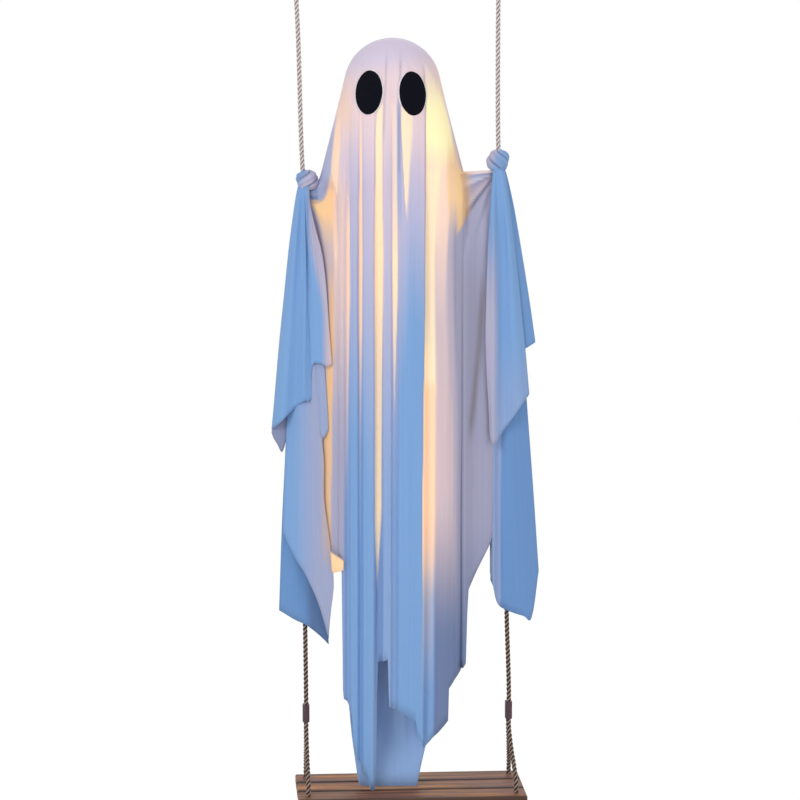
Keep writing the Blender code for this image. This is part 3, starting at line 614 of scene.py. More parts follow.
ARM_HANG_Y = 0.021
ARM_WAVE = 0.0035
ARM_DRIFT = 0.0015
BODY_DRIFT = 0.0020
BODY_RIPPLE = 0.0009
BEND_DROP = 0.03
CREASE_WIDTH = 0.0028
FLAP_GATHER = 0.0022
FLAP_DRIFT_Y = 0.0022
FLAP_DRIFT_X = 0.0012
KNOT_CAP = 0.86
CLOSE_ROWS = 0.14


def head_profile(z, slope):
    centre = HEAD_TOP_Z - HEAD_RADIUS
    lean = math.atan(slope)
    join = centre + HEAD_RADIUS * math.sin(lean)
    if z > join:
        return math.sqrt(max(HEAD_RADIUS ** 2 - (z - centre) ** 2, 0))
    return HEAD_RADIUS * math.cos(lean) + (join - z) * slope


def side_reach(z):
    if z >= SHOULDER_Z:
        return head_profile(z, HEAD_SLOPE), HEAD_X
    t = smoothstep((SHOULDER_Z - z) / (SHOULDER_Z - WAIST_Z))
    return lerp(head_profile(SHOULDER_Z, HEAD_SLOPE), BODY_HALF_WIDTH, t), lerp(HEAD_X, BODY_X, t)


def depth_reach(z, front):
    profile = FRONT_DEPTH if front else BACK_DEPTH
    if z >= SHOULDER_Z:
        settled = smoothstep((BROW_Z - z) / (BROW_Z - SHOULDER_Z))
        return head_profile(z, 0.0) + (profile[-1][1] - HEAD_RADIUS) * settled
    return through(profile, z)


def low_x(angle):
    return BODY_X + BODY_HALF_WIDTH * math.cos(angle)


def fold_height(x, front):
    """Relief of the pleats round the body, -1 to 1, by x on the lower body."""
    if not front:
        angle = math.acos(max(-1, min(1, (x - BODY_X) / BODY_HALF_WIDTH)))
        wave = math.cos(BACK_PLEATS * 2 * angle)
        return 0.85 * math.copysign(abs(wave) ** 0.6, wave) + 0.15 * math.cos(BACK_PLEATS * 3.3 * angle + 1)
    for (a, first), (b, second) in zip(FRONT_FOLDS, FRONT_FOLDS[1:]):
        if a <= x <= b:
            return lerp(first, second, smoothstep((x - a) / (b - a)))
    return 0.0


def fold_growth(x, z):
    """How far a pleat has opened at a height: the middle ones start high on the forehead."""
    middle = math.exp(-((x - 0.005) / 0.060) ** 2)
    early = 0.13 * middle * below(z, 1.492, 0.045)
    return early + (1 - 0.13 * middle) * below(z, 1.45, 0.42)


def fan(share, edge):
    """Pleats hang straight down from the head's middle, and the outer ones fan out over the shoulders."""
    rest = 1 - PLEAT_STRAIGHT
    if share < PLEAT_STRAIGHT:
        return share
    power = max(1.0, (edge - PLEAT_STRAIGHT) / rest)
    left = max(0.0, 1 - (share - PLEAT_STRAIGHT) / (edge - PLEAT_STRAIGHT)) ** power
    return PLEAT_STRAIGHT + rest * (1 - left)


def turned(angle, z):
    """The angle at which a column of the lower body lies at a height."""
    half, middle = side_reach(z)
    x = low_x(angle)
    side = 1 if x > middle else -1
    edge = (side * (BODY_X - middle) + BODY_HALF_WIDTH) / half
    share = side * fan(abs(x - middle) / half, edge)
    moved = math.copysign(math.acos(max(-1.0, min(1.0, share))), angle)
    return lerp(angle, moved, below(z, CROWN_FAN_Z, CROWN_FAN_DROP))


def section_point(turn, z, front, relief):
    """A point of the body's section at a height, moved out by the relief of its folds."""
    half, middle = side_reach(z)
    deep = depth_reach(z, front)
    flat = abs(math.sin(turn)) ** SECTION_POWER * (-1 if front else 1)
    y = deep * lerp(math.sin(turn), flat, below(z, SECTION_TOP_Z, SECTION_DROP))
    out = Vector((math.cos(turn) / max(half, 1e-4), math.sin(turn) / max(deep, 1e-4), 0)).normalized()
    return Vector((middle + half * math.cos(turn), y, z)) + out * relief


# Fine creases that start on the crown, as (x, height) points from the top down, with a depth
HEAD_CREASES = [
    (0.0011, [(-0.0245, 1.492), (-0.0275, 1.460), (-0.0310, 1.392), (-0.0335, 1.300)]),
    (0.0014, [(0.0030, 1.492), (0.0005, 1.460), (-0.0035, 1.392), (-0.0030, 1.240)]),
    (0.0007, [(-0.0410, 1.462), (-0.0420, 1.430), (-0.0430, 1.390)]),
    (0.0009, [(0.0470, 1.470), (0.0480, 1.430), (0.0490, 1.360)]),
]


def crease_near(x, z, width):
    """Depth of the nearest crown crease at a place on the head's front."""
    deepest = 0.0
    for depth, points in HEAD_CREASES:
        if points[-1][1] < z < points[0][1]:
            rising = [(height, place) for place, height in reversed(points)]
            fade = smoothstep((points[0][1] - z) / 0.035) * smoothstep((z - points[-1][1]) / 0.03)
            deepest = max(deepest, depth * fade * bump_at(x, through(rising, z), width))
    return deepest


def body_point(angle, z):
    front = math.sin(angle) < 0
    x = low_x(angle)
    deep = depth_reach(z, front)
    relief = PLEAT_DEPTH * fold_growth(x, z) * fold_height(x, front) * max(0.0, min(1, deep / 0.03))
    drift = BODY_DRIFT * noise.noise(Vector((x * 14, 3.1 if front else 9.7, z * 2.2)))
    ripple = BODY_RIPPLE * noise.noise(Vector((x * 60, 1.7 if front else 5.2, z * 4.5)))
    loose = below(z, SECTION_TOP_Z, SECTION_DROP)
    turn = turned(angle, z)
    if front:
        half, middle = side_reach(z)
        relief -= crease_near(middle + half * math.cos(turn), z, CREASE_WIDTH)
    return section_point(turn, z, front, relief + (drift + ripple) * loose)


def bar_top(x):
    """Height of the cloth where it lies over the hidden crossbar."""
    if x < 0:
        return lerp(1.2135, 1.2105, (x + 0.140) / -0.040)
    return lerp(1.2470, 1.2520, (x - 0.133) / 0.050)


LEFT_NECK = (-0.184, 1.212)
RIGHT_NECK = (0.198, 1.246)

# Tension creases that run out from the pinch below each knot, as (degrees, depth, length)
LEFT_CREASES = [(-62, 0.0014, 0.10), (-74, 0.0018, 0.14), (-46, 0.0010, 0.05)]
RIGHT_CREASES = [(-12, 0.0012, 0.05), (-27, 0.0018, 0.055), (-53, 0.0040, 0.100), (-70, 0.0016, 0.16)]


def bump_at(value, centre, width):
    return math.exp(-((value - centre) / width) ** 2)


def tension(x, z, side, width):
    """Depth of the tension creases at a place on an arm."""
    neck = RIGHT_NECK if side > 0 else LEFT_NECK
    run, rise = side * (neck[0] - x), z - neck[1]
    away = math.hypot(run, rise)
    turn = math.atan2(rise, run)
    total = 0.0
    for degrees, depth, length in RIGHT_CREASES if side > 0 else LEFT_CREASES:
        off = away * math.sin(turn - math.radians(degrees))
        total += (depth * bump_at(off, 0, width) * smoothstep((length - away) / (0.4 * length))
                  * smoothstep(away / 0.01))
    return total


def row_share(k, lower):
    """Rows of the long fall lie close together below the arms and wider apart towards the hem."""
    close = round(0.42 * lower)
    if k <= close:
        return CLOSE_ROWS * k / close
    return lerp(CLOSE_ROWS, 1.0, (k - close) / (lower - close))


def arm_column(side, share, front, rows):
    """One line of the cloth from the head's side, along the arm's top and down to the hem.
    share runs from 0 at the body to 1 at the knot."""
    face = -1 if front else 1
    end = RIGHT_ARM_END if side > 0 else LEFT_ARM_END
    start = BODY_X + side * BODY_HALF_WIDTH * math.cos(ARM_EDGE_ANGLE)
    x_fall = lerp(start, end, share)
    lean = ARM_EDGE_ANGLE * (1 - share) ** 1.2 * 0.98
    angle = face * lean if side > 0 else face * (math.pi - lean)
    upper, bend, lower = rows
    line = [body_point(angle, z) for z in upper]
    shoulder = line[-1]
    roof = bar_top(x_fall)
    edge_y = face * ARM_ROOF * lerp(1.0, ROOF_LEFT_AT_KNOT, share)
    for k in range(1, bend + 1):
        t = k / bend
        x = lerp(shoulder.x, x_fall, t ** 1.3)
        y = lerp(shoulder.y, edge_y, smoothstep(t))
        z = lerp(shoulder.z, roof - ROOF_EDGE_DROP, t ** 0.8)
        line.append(Vector((x, y, z)))
    body_y = body_point(face * ARM_EDGE_ANGLE if side > 0 else face * (math.pi - ARM_EDGE_ANGLE), 1.1).y
    hem_profile = RIGHT_ARM_HEM if side > 0 else LEFT_ARM_HEM
    hem = through(hem_profile, x_fall) + (0.0 if front else BACK_HEM_LIFT)
    for k in range(1, lower + 1):
        t = row_share(k, lower)
        z = lerp(roof - ROOF_EDGE_DROP, hem, t)
        fall = smoothstep(t * 6)
        bow = (1 - share) ** 1.7
        y = lerp(edge_y, face * lerp(ARM_HANG_Y, abs(body_y), bow), fall)
        y += face * ARM_WAVE * math.sin(share * 8.5 + 1.2 * side) * smoothstep(t * 2.5)
        y -= face * tension(x_fall, z, side, 0.0032)
        y += ARM_DRIFT * noise.noise(Vector((x_fall * 16, 5.0 * face, z * 2.4)))
        line.append(Vector((x_fall, y, z)))
    return line


# Painted light on the white cloth: cool-light blues and lilacs, inner-lamp creams and ambers, and greys for
# painted shade

CROWN = srgb(214, 202, 224)
PINK = srgb(234, 210, 216)
LAVENDER = srgb(208, 194, 216)
SKY = srgb(122, 164, 215)
DEEP_SKY = srgb(104, 146, 200)
DUSK = srgb(88, 118, 164)
SLATE = srgb(162, 161, 188)
LOW_SLATE = srgb(108, 126, 166)
ROSE = srgb(216, 194, 200)
HAZE = srgb(170, 169, 197)
YELLOW = srgb(255, 244, 190)
CREAM = srgb(253, 226, 190)
PEACH = srgb(253, 212, 178)
BLUSH = srgb(248, 214, 192)
AMBER = srgb(247, 204, 148)
TAN = srgb(224, 178, 128)
WARM_ROSE = srgb(234, 206, 202)
# Painted shade, for shadow lines, creases and hollows
PAINTED_SHADE = srgb(128, 122, 138)

# Painted light in the gaps between the pleats, where the inner lamp shines through. Each has the softness of
# its left and right edge, its colour, and rows of (height, left x, right x, strength) from the top down
GLOW_BANDS = [
    (0.004, 0.003, PEACH, [
        (1.400, -0.117, -0.108, 0.0), (1.365, -0.119, -0.113, 0.3), (1.324, -0.1259, -0.1144, 0.8),
        (1.288, -0.1314, -0.1164, 0.9), (1.251, -0.1341, -0.1202, 0.85), (1.214, -0.1386, -0.1213, 0.8),
        (1.190, -0.1406, -0.1229, 0.6), (1.142, -0.1298, -0.1213, 0.6), (1.087, -0.1276, -0.1203, 0.6),
        (1.045, -0.1250, -0.1209, 0.0)]),
    (0.010, 0.0012, AMBER, [
        (1.212, -0.180, -0.128, 0.5), (1.198, -0.176, -0.1285, 0.9), (1.169, -0.162, -0.1290, 0.95),
        (1.140, -0.152, -0.1280, 0.6), (1.100, -0.146, -0.1270, 0.2), (1.050, -0.140, -0.1270, 0.1),
        (1.040, -0.140, -0.1270, 0.0)]),
    (0.010, 0.0012, TAN, [
        (1.075, -0.140, -0.1270, 0.0), (1.025, -0.138, -0.1270, 0.7), (0.920, -0.138, -0.1280, 0.9),
        (0.821, -0.146, -0.1314, 0.95), (0.574, -0.152, -0.1353, 0.8), (0.440, -0.152, -0.1330, 0.8)]),
    (0.006, 0.001, PEACH, [
        (1.260, -0.1013, -0.0973, 0.0), (1.140, -0.1045, -0.0973, 0.85), (1.002, -0.1052, -0.0973, 0.85),
        (0.800, -0.1062, -0.1013, 0.5), (0.660, -0.1070, -0.1040, 0.25), (0.560, -0.1070, -0.1050, 0.0)]),
    (0.001, 0.0015, PEACH, [
        (1.392, -0.0786, -0.0767, 0.1), (1.326, -0.0788, -0.0749, 0.8), (1.087, -0.0806, -0.0731, 1.0),
        (0.943, -0.0806, -0.0741, 0.9), (0.820, -0.0802, -0.0757, 0.45), (0.700, -0.0806, -0.0777, 0.3),
        (0.460, -0.0800, -0.0780, 0.0)]),
    (0.001, 0.0015, CREAM, [
        (1.408, -0.0410, -0.0360, 0.0), (1.385, -0.0442, -0.0344, 0.8), (1.326, -0.0488, -0.0356, 1.0),
        (1.087, -0.0488, -0.0336, 1.0), (0.820, -0.0488, -0.0356, 0.9), (0.574, -0.0488, -0.0366, 1.0),
        (0.481, -0.0480, -0.0420, 0.85), (0.435, -0.0462, -0.0445, 0.0)]),
    (0.003, 0.001, CREAM, [
        (1.392, -0.0187, -0.0108, 0.3), (1.326, -0.0167, -0.0073, 0.4), (1.150, -0.0167, -0.0055, 0.75),
        (1.087, -0.0167, -0.0049, 1.0), (1.034, -0.0161, -0.0049, 1.0), (0.923, -0.0147, -0.0079, 0.85),
        (0.800, -0.0127, -0.0107, 0.4), (0.743, -0.0122, -0.0118, 0.0)]),
    (0.0008, 0.007, CREAM, [
        (1.385, 0.0005, 0.0200, 0.5), (1.358, 0.0005, 0.0230, 0.9), (1.326, 0.0015, 0.0226, 0.9),
        (1.266, 0.0049, 0.0177, 0.9), (1.198, 0.0081, 0.0138, 0.9), (1.155, 0.0108, 0.0122, 0.1),
        (1.150, 0.0108, 0.0122, 0.0)]),
    (0.004, 0.005, BLUSH, [
        (1.330, 0.088, 0.100, 0.0), (1.296, 0.072, 0.095, 0.5), (1.250, 0.070, 0.095, 0.9),
        (1.170, 0.070, 0.098, 0.85), (1.087, 0.068, 0.092, 0.5), (1.000, 0.069, 0.088, 0.2),
        (0.950, 0.069, 0.088, 0.0)]),
    (0.0008, 0.008, YELLOW, [
        (1.468, 0.0482, 0.0520, 0.0), (1.440, 0.0488, 0.0640, 0.3), (1.415, 0.0500, 0.0780, 0.6),
        (1.385, 0.0511, 0.0890, 0.9), (1.354, 0.0511, 0.0985, 1.0), (1.320, 0.0502, 0.1060, 1.0),
        (1.285, 0.0502, 0.1090, 0.8), (1.250, 0.0502, 0.0950, 0.0)]),
    (0.0008, 0.008, CREAM, [
        (1.310, 0.0502, 0.0930, 0.0), (1.252, 0.0502, 0.0800, 1.0), (1.198, 0.0502, 0.0735, 0.95),
        (1.087, 0.0492, 0.0688, 1.0), (1.002, 0.0492, 0.0698, 0.95), (0.820, 0.0458, 0.0708, 1.0)]),
    (0.0008, 0.008, PEACH, [
        (0.830, 0.0458, 0.0708, 1.0), (0.574, 0.0435, 0.0708, 1.0), (0.481, 0.0440, 0.0698, 0.8),
        (0.399, 0.0443, 0.0679, 0.3), (0.280, 0.0443, 0.0679, 0.12), (0.200, 0.0443, 0.0679, 0.0)]),
    (0.006, 0.016, AMBER, [
        (1.320, 0.0960, 0.1140, 0.0), (1.285, 0.0940, 0.1180, 0.6), (1.251, 0.0925, 0.1230, 0.85),
        (1.200, 0.0934, 0.1270, 0.85), (1.169, 0.0955, 0.1220, 0.5), (1.135, 0.0980, 0.1120, 0.15),
        (1.105, 0.1000, 0.1080, 0.0)]),
]


def band_light(x, z, dye):
    """Painted light colour and painted glow of a place on the front once the lit gaps are laid over it, with
    a painted shadow line along the sharp left edge of a gap.
    """
    glow = 0.0
    for soft_left, soft_right, colour, rows in GLOW_BANDS:
        if not rows[-1][0] <= z < rows[0][0]:
            continue
        for (z1, l1, r1, s1), (z2, l2, r2, s2) in zip(rows, rows[1:]):
            if z2 <= z <= z1:
                t = (z1 - z) / (z1 - z2)
                left, right, strength = lerp(l1, l2, t), lerp(r1, r2, t), lerp(s1, s2, t)
                inside = smoothstep((x - left) / soft_left + 0.5) * smoothstep((right - x) / soft_right + 0.5)
                dye = mix_colour(dye, colour, strength * inside)
                glow = max(glow, strength * inside)
                # Painted shadow: a thin dark line beside a sharp-edged gap, where the panel in front casts
                # shade.
                if soft_left < 0.002:
                    dye = mix_colour(dye, PAINTED_SHADE, 0.35 * strength * bump_at(x, left - 0.0012, 0.0009))
                break
    return dye, glow


def edge_shade(x, z):
    """Thin shadow lines where one layer ends on another."""
    seam = 0.55 * bump_at(x, 0.1240, 0.0010) * below(z, 0.70, 0.04) * above(z, 0.34, 0.04)
    return min(1.0, seam + 0.40 * crease_near(x, z, 0.0019) / 0.0012)


# Painted light and shade on the folds that run to the right knot's pinch, by their slope in degrees
ARM_FOLDS = [
    (-58, HAZE), (-52, mix_colour(PAINTED_SHADE, DUSK, 0.3)), (-46, srgb(196, 184, 198)),
    (-34, srgb(172, 162, 186)), (-26, srgb(150, 150, 184)), (-20, srgb(206, 202, 222)),
    (-13, srgb(182, 186, 214)), (-9, srgb(122, 138, 178)), (-5, srgb(160, 170, 206)),
    (-1, srgb(236, 216, 220)), (8, srgb(244, 222, 214))]


def colour_through(stops, value):
    """Read a colour from stops, a list of (position, colour) pairs in rising order."""
    if value <= stops[0][0]:
        return stops[0][1]
    for (a, first), (b, second) in zip(stops, stops[1:]):
        if value <= b:
            return mix_colour(first, second, smoothstep((value - a) / (b - a)))
    return stops[-1][1]


def right_arm_colour(x, z):
    """Painted light of the cloth between the right shoulder and the knot, where folds run to the pinch:
    painted shade in the creases and warm inner light near the body.
    """
    turn = math.degrees(math.atan2(z - RIGHT_NECK[1], RIGHT_NECK[0] - x))
    low = mix_colour(SLATE, LOW_SLATE, below(z, 0.60, 0.35))
    crease_x = through([(0.74, 0.1440), (0.80, 0.1510), (0.90, 0.1610), (1.00, 0.1660), (1.10, 0.1700)], z)
    crease = bump_at(x, crease_x, 0.0065) * below(z, 1.10, 0.15) * above(z, 0.70, 0.06)
    # Painted shade in the long diagonal crease.
    dye = mix_colour(low, srgb(126, 120, 128), 0.8 * crease)
    dye = mix_colour(dye, HAZE, above(z, 1.00, 0.15))
    near = above(x, 0.120, 0.034)
    fold = colour_through(ARM_FOLDS, turn)
    fold = mix_colour(AMBER, fold, near)
    dye = mix_colour(dye, fold, smoothstep((turn + 54) / 3 + 0.5) * below(x, 0.196, 0.004))
    shadow = min(1.0, tension(x, z, 1, 0.0030) / 0.0034)
    return mix_colour(dye, mix_colour(PAINTED_SHADE, DUSK, 0.35), 0.6 * shadow)


def left_arm_colour(x, z):
    """Painted light of the cloth between the left shoulder and the knot: pale folds below a slack pouch,
    rosier towards the body, with painted shade in the tension creases.
    """
    dye = mix_colour(HAZE, ROSE, 0.55 * above(x, -0.165, 0.02))
    return mix_colour(dye, PAINTED_SHADE, 0.4 * min(1.0, tension(x, z, -1, 0.0030) / 0.0030))


def pouch_over(x, z, dye, glow):
    """Paint the slack pouch by the left knot over the cloth: painted shade low inside it, a painted highlight
    on its ridge, its painted shadow below, and no glow where it hangs.
    """
    reach = smoothstep((-0.140 - x) / 0.003) * below(z, 1.222, 0.004)
    sag = 1.2110 - 0.0185 * max(0.0, 1 - ((x + 0.1640) / 0.0230) ** 2)
    inside = reach * smoothstep((z - sag) / 0.0035 + 0.5)
    ridge = bump_at(z, sag + 0.0115, 0.0035)
    cloth = mix_colour(mix_colour(SKY, HAZE, 0.45), DUSK, 0.35 + 0.35 * bump_at(z, sag + 0.0050, 0.0040))
    dye = mix_colour(dye, mix_colour(cloth, HAZE, 0.6 * ridge), inside)
    shadow = reach * bump_at(z, sag - 0.0035, 0.0035)
    return mix_colour(dye, mix_colour(PAINTED_SHADE, DUSK, 0.5), 0.55 * shadow), glow * (1 - inside)


def front_dye(x, z):
    """Painted light of the front on the white cloth: lilac crown, pink brow, lavender breast and sky blue
    below, a pale warm panel at the left, greyer painted shade at the right side, and warm blushes of the
    inner lamp.
    """
    dye = mix_colour(CROWN, PINK, smoothstep((1.488 - z) / 0.055 + 3 * x))
    dye = mix_colour(dye, LAVENDER, below(z, 1.37, 0.16))
    if x < -0.004:
        cool = below(z, 1.38, 0.85)
    else:
        cool = smoothstep((1.33 - z) / lerp(0.60, 0.44, above(x, 0.006, 0.012)))
    across = through([(-0.108, 0.15), (-0.101, 0.12), (-0.097, -0.15), (-0.083, -0.12), (-0.072, -0.08),
                      (-0.052, 0.08), (-0.036, 0.10), (-0.018, 0.15), (-0.004, 0.05), (0.003, -0.08),
                      (0.028, -0.06), (0.049, 0.04)], x)
    dye = mix_colour(dye, SKY, min(1.0, max(0.0, cool - across * below(z, 1.38, 0.1))))
    pale_edge = lerp(-0.1106, -0.1052, above(z, 0.50, 0.30))
    pale = smoothstep((pale_edge - x) / 0.003 + 0.5) * below(z, 1.30, 0.1)
    pale *= above(z, 0.455, 0.010)
    dye = mix_colour(dye, mix_colour(WARM_ROSE, HAZE, below(z, 1.10, 0.42)), pale)
    # Painted shade towards the right side: rose, then grey lavender, then slate.
    side = mix_colour(ROSE, LOW_SLATE, below(z, 0.64, 0.34))
    slate = mix_colour(SLATE, LOW_SLATE, below(z, 0.60, 0.35))
    slate_x = lerp(0.1215, 0.1040, above(z, 0.66, 0.40))
    side = mix_colour(side, mix_colour(ROSE, HAZE, 0.6), 0.8 * smoothstep((x - slate_x + 0.020) / 0.012)
                      * above(z, 0.40, 0.2))
    side = mix_colour(side, slate, smoothstep((x - slate_x) / 0.010 + 0.5) * below(z, 1.20, 0.08))
    dye = mix_colour(dye, side, above(x, 0.066, 0.008) * below(z, 1.36, 0.1))
    # Painted shade low down at the seam where the arm's cloth meets the body.
    dye = mix_colour(dye, DUSK, 0.22 * above(x, 0.1235, 0.002) * below(z, 0.72, 0.15))
    blue_fold = above(x, -0.0085, 0.003) * below(x, 0.003, 0.003)
    blue_fold *= below(z, 1.40, 0.03) * above(z, 1.12, 0.08)
    dye = mix_colour(dye, mix_colour(SKY, LAVENDER, 0.4), 0.9 * blue_fold)
    # Painted warm light of the inner lamp on the brow, at the left and the right.
    blush = bump_at(x, -0.106, 0.014) * bump_at(z, 1.372, 0.045)
    dye = mix_colour(dye, PEACH, 0.6 * blush)
    blush = bump_at(x, 0.083, 0.016) * bump_at(z, 1.410, 0.050)
    return mix_colour(dye, CREAM, 0.55 * blush)


def front_colour(x, z):
    """Painted light colour and painted glow of the whole front, arms included."""
    dye = front_dye(x, z)
    if z < 1.262:
        if x > 0.108:
            share = above(x, 0.108, 0.012) * below(z, 1.262, 0.010)
            dye = mix_colour(dye, right_arm_colour(x, z), share)
        bound = lerp(-0.1353, -0.1275, above(z, 0.57, 0.55))
        if x < bound + 0.002:
            share = smoothstep((bound - x) / 0.003 + 0.5) * below(z, 1.262, 0.010)
            dye = mix_colour(dye, left_arm_colour(x, z), share)
    # Painted cool light along the left shoulder's edge, where the painted glow gives way.
    edge_x = through([(1.190, -0.1470), (1.214, -0.1406), (1.232, -0.1370), (1.251, -0.1335),
                      (1.288, -0.1300), (1.324, -0.1255), (1.365, -0.1225), (1.420, -0.1220)], z)
    cool_edge = smoothstep((edge_x - x) / 0.004 + 0.5) * below(z, 1.40, 0.06)
    cool_edge *= above(z, 1.188, 0.010) * above(x, -0.1600, 0.004)
    dye, glow = band_light(x, z, dye)
    dye, glow = pouch_over(x, z, dye, glow)
    dye = mix_colour(dye, mix_colour(SKY, LAVENDER, 0.45), 0.85 * cool_edge)
    glow *= 1 - cool_edge
    return mix_colour(dye, mix_colour(PAINTED_SHADE, DUSK, 0.3), edge_shade(x, z)), glow


def back_dye(z):
    """Painted light of the back on the white cloth: pink over the head, lavender below it and sky blue lower
    down.
    """
    dye = mix_colour(CROWN, PINK, below(z, 1.488, 0.055))
    dye = mix_colour(dye, LAVENDER, below(z, 1.37, 0.16))
    return mix_colour(dye, SKY, below(z, 1.36, 0.65))


def body_colour(angle, point):
    if math.sin(angle) < 0:
        return front_colour(point.x, point.z)
    dye = back_dye(point.z)
    # Painted light of the inner lamp in the deep gaps between the back pleats.
    gap = max(0.0, -fold_height(low_x(angle), False)) ** 2
    lit = 0.7 * gap * below(point.z, 1.40, 0.12) * above(point.z, 0.50, 0.3)
    dye = mix_colour(dye, PEACH, lit)
    # Painted light: low down the back cloth is lightened against the shade it hangs in.
    low = mix_colour(srgb(146, 178, 226), srgb(166, 190, 226), above(point.z, 0.10, 0.12))
    return mix_colour(dye, low, 0.9 * below(point.z, 0.34, 0.1)), 0.6 * lit


def make_body():
    """Columns round the body and arms, joined into one sheet that is closed at the crown."""
    upper = [HEAD_TOP_Z - HEAD_RADIUS * (1 - math.cos(math.radians(a))) for a in range(4, 88, 6)]
    upper += [1.400, 1.380, 1.360, 1.335, 1.310, 1.285, 1.264, 1.247]
    bend, lower = 5, 62
    columns = []
    front_count, back_count, arm_count = 190, 64, 24

    def plain_column(angle):
        hem = through(FRONT_HEM if math.sin(angle) < 0 else BACK_HEM, low_x(angle))
        top = upper[-1]
        heights = upper + [lerp(top, top - BEND_DROP, k / bend) for k in range(1, bend + 1)]
        heights += [lerp(top - BEND_DROP, hem, row_share(k, lower)) for k in range(1, lower + 1)]
        points = [body_point(angle, z) for z in heights]
        return points, [body_colour(angle, p) for p in points]

    def side_column(side, share, front):
        points = arm_column(side, share, front, (upper, bend, lower))
        if not front:
            return points, [(back_dye(p.z), 0.0) for p in points]
        return points, [front_colour(p.x, p.z) for p in points]

    edge = ARM_EDGE_ANGLE
    for k in range(front_count + 1):
        columns.append(plain_column(-math.pi + edge + (math.pi - 2 * edge) * k / front_count))
    for k in range(1, arm_count + 1):
        columns.append(side_column(1, k / arm_count, True))
    for k in range(arm_count, 0, -1):
        columns.append(side_column(1, k / arm_count, False))
    for k in range(back_count + 1):
        columns.append(plain_column(edge + (math.pi - 2 * edge) * k / back_count))
    for k in range(1, arm_count + 1):
        columns.append(side_column(-1, k / arm_count, False))
    for k in range(arm_count, 0, -1):
        columns.append(side_column(-1, k / arm_count, True))
    return columns


class Cloth:
    """Points, faces and attributes of the whole sheet, gathered from its grids."""

    def __init__(self):
        self.verts, self.faces, self.thread, self.dye, self.glow = [], [], [], [], []

    def add_grid(self, columns, closed=False):
        """columns: lists of (points, tints), all of one length."""
        first = len(self.verts)
        rows = len(columns[0][0])
        across = 0.0
        for i, (points, tints) in enumerate(columns):
            if i:
                across += (points[rows // 2] - columns[i - 1][0][rows // 2]).length
            down = 0.0
            for j, (p, (dye, glow)) in enumerate(zip(points, tints)):
                if j:
                    down += (p - points[j - 1]).length
                self.verts.append(p)
                self.thread.append((across, down, 0.0))
                self.dye.append(dye)
                self.glow.append(glow)
        count = len(columns)
        for i in range(count if closed else count - 1):
            a = first + i * rows
            b = first + ((i + 1) % count) * rows
            for j in range(rows - 1):
                self.faces.append((a + j, a + j + 1, b + j + 1, b + j))
        return first, rows, count

    def cap(self, first, rows, count, place, tint):
        self.verts.append(place)
        self.thread.append((0.0, 0.0, 0.0))
        self.dye.append(tint[0])
        self.glow.append(tint[1])
        top = len(self.verts) - 1
        for i in range(count):
            self.faces.append((top, first + i * rows, first + ((i + 1) % count) * rows))


# Sheet: the sleeves

LEFT_FLAPS = {
    "front": [
        [(-0.197, -0.006, 1.219), (-0.252, -0.008, 0.737)],
        [(-0.192, -0.014, 1.222), (-0.232, -0.032, 0.757)],
        [(-0.188, -0.016, 1.224), (-0.205, -0.022, 0.782)],
        [(-0.1860, -0.018, 1.222), (-0.187, -0.036, 0.797)],
        [(-0.1855, -0.019, 1.220), (-0.1745, -0.030, 0.799)],
        [(-0.1850, -0.019, 1.220), (-0.1725, -0.032, 0.866)],
        [(-0.1820, -0.020, 1.221), (-0.169, -0.037, 1.060), (-0.1530, -0.041, 0.870)],
        [(-0.1790, -0.020, 1.222), (-0.1690, -0.034, 1.140), (-0.157, -0.039, 1.050),
         (-0.1440, -0.046, 0.866)],
        [(-0.1750, -0.019, 1.222), (-0.1745, -0.024, 1.190), (-0.1650, -0.034, 1.145),
         (-0.1515, -0.040, 1.090), (-0.1440, -0.042, 1.030), (-0.1390, -0.044, 0.960),
         (-0.1325, -0.047, 0.869)]],
    "curl": [
        [(-0.196, -0.003, 1.217), (-0.2525, -0.004, 0.729)],
        [(-0.192, -0.006, 1.219), (-0.2420, -0.006, 0.708)],
        [(-0.189, -0.007, 1.219), (-0.2290, -0.006, 0.692)],
        [(-0.186, -0.008, 1.219), (-0.2150, -0.008, 0.760)]],
    "tail": [
        [(-0.187, -0.013, 1.216), (-0.1720, -0.022, 0.980), (-0.1600, -0.029, 0.745)],
        [(-0.186, -0.014, 1.216), (-0.1640, -0.025, 0.980), (-0.1510, -0.036, 0.722)],
        [(-0.185, -0.014, 1.215), (-0.1590, -0.027, 0.980), (-0.1465, -0.034, 0.850),
         (-0.1400, -0.040, 0.738)]],
    "middle": [
        [(-0.196, -0.007, 1.216), (-0.231, -0.012, 0.528)],
        [(-0.190, -0.013, 1.220), (-0.206, -0.026, 0.478)],
        [(-0.187, -0.014, 1.220), (-0.184, -0.034, 0.440)],
        [(-0.186, -0.014, 1.216), (-0.165, -0.033, 0.700), (-0.158, -0.040, 0.378)],
        [(-0.185, -0.013, 1.215), (-0.1515, -0.035, 0.702), (-0.1485, -0.038, 0.600),
         (-0.1386, -0.046, 0.520), (-0.1310, -0.050, 0.430), (-0.1370, -0.050, 0.370),
         (-0.1406, -0.046, 0.318)]],
    "rear": [
        [(-0.196, -0.003, 1.216), (-0.239, -0.006, 0.368)],
        [(-0.191, -0.009, 1.218), (-0.212, -0.015, 0.352)],
        [(-0.187, -0.010, 1.218), (-0.183, -0.013, 0.337)],
        [(-0.184, -0.010, 1.216), (-0.160, -0.015, 0.318)],
        [(-0.180, -0.009, 1.213), (-0.140, -0.011, 0.297)]],
}
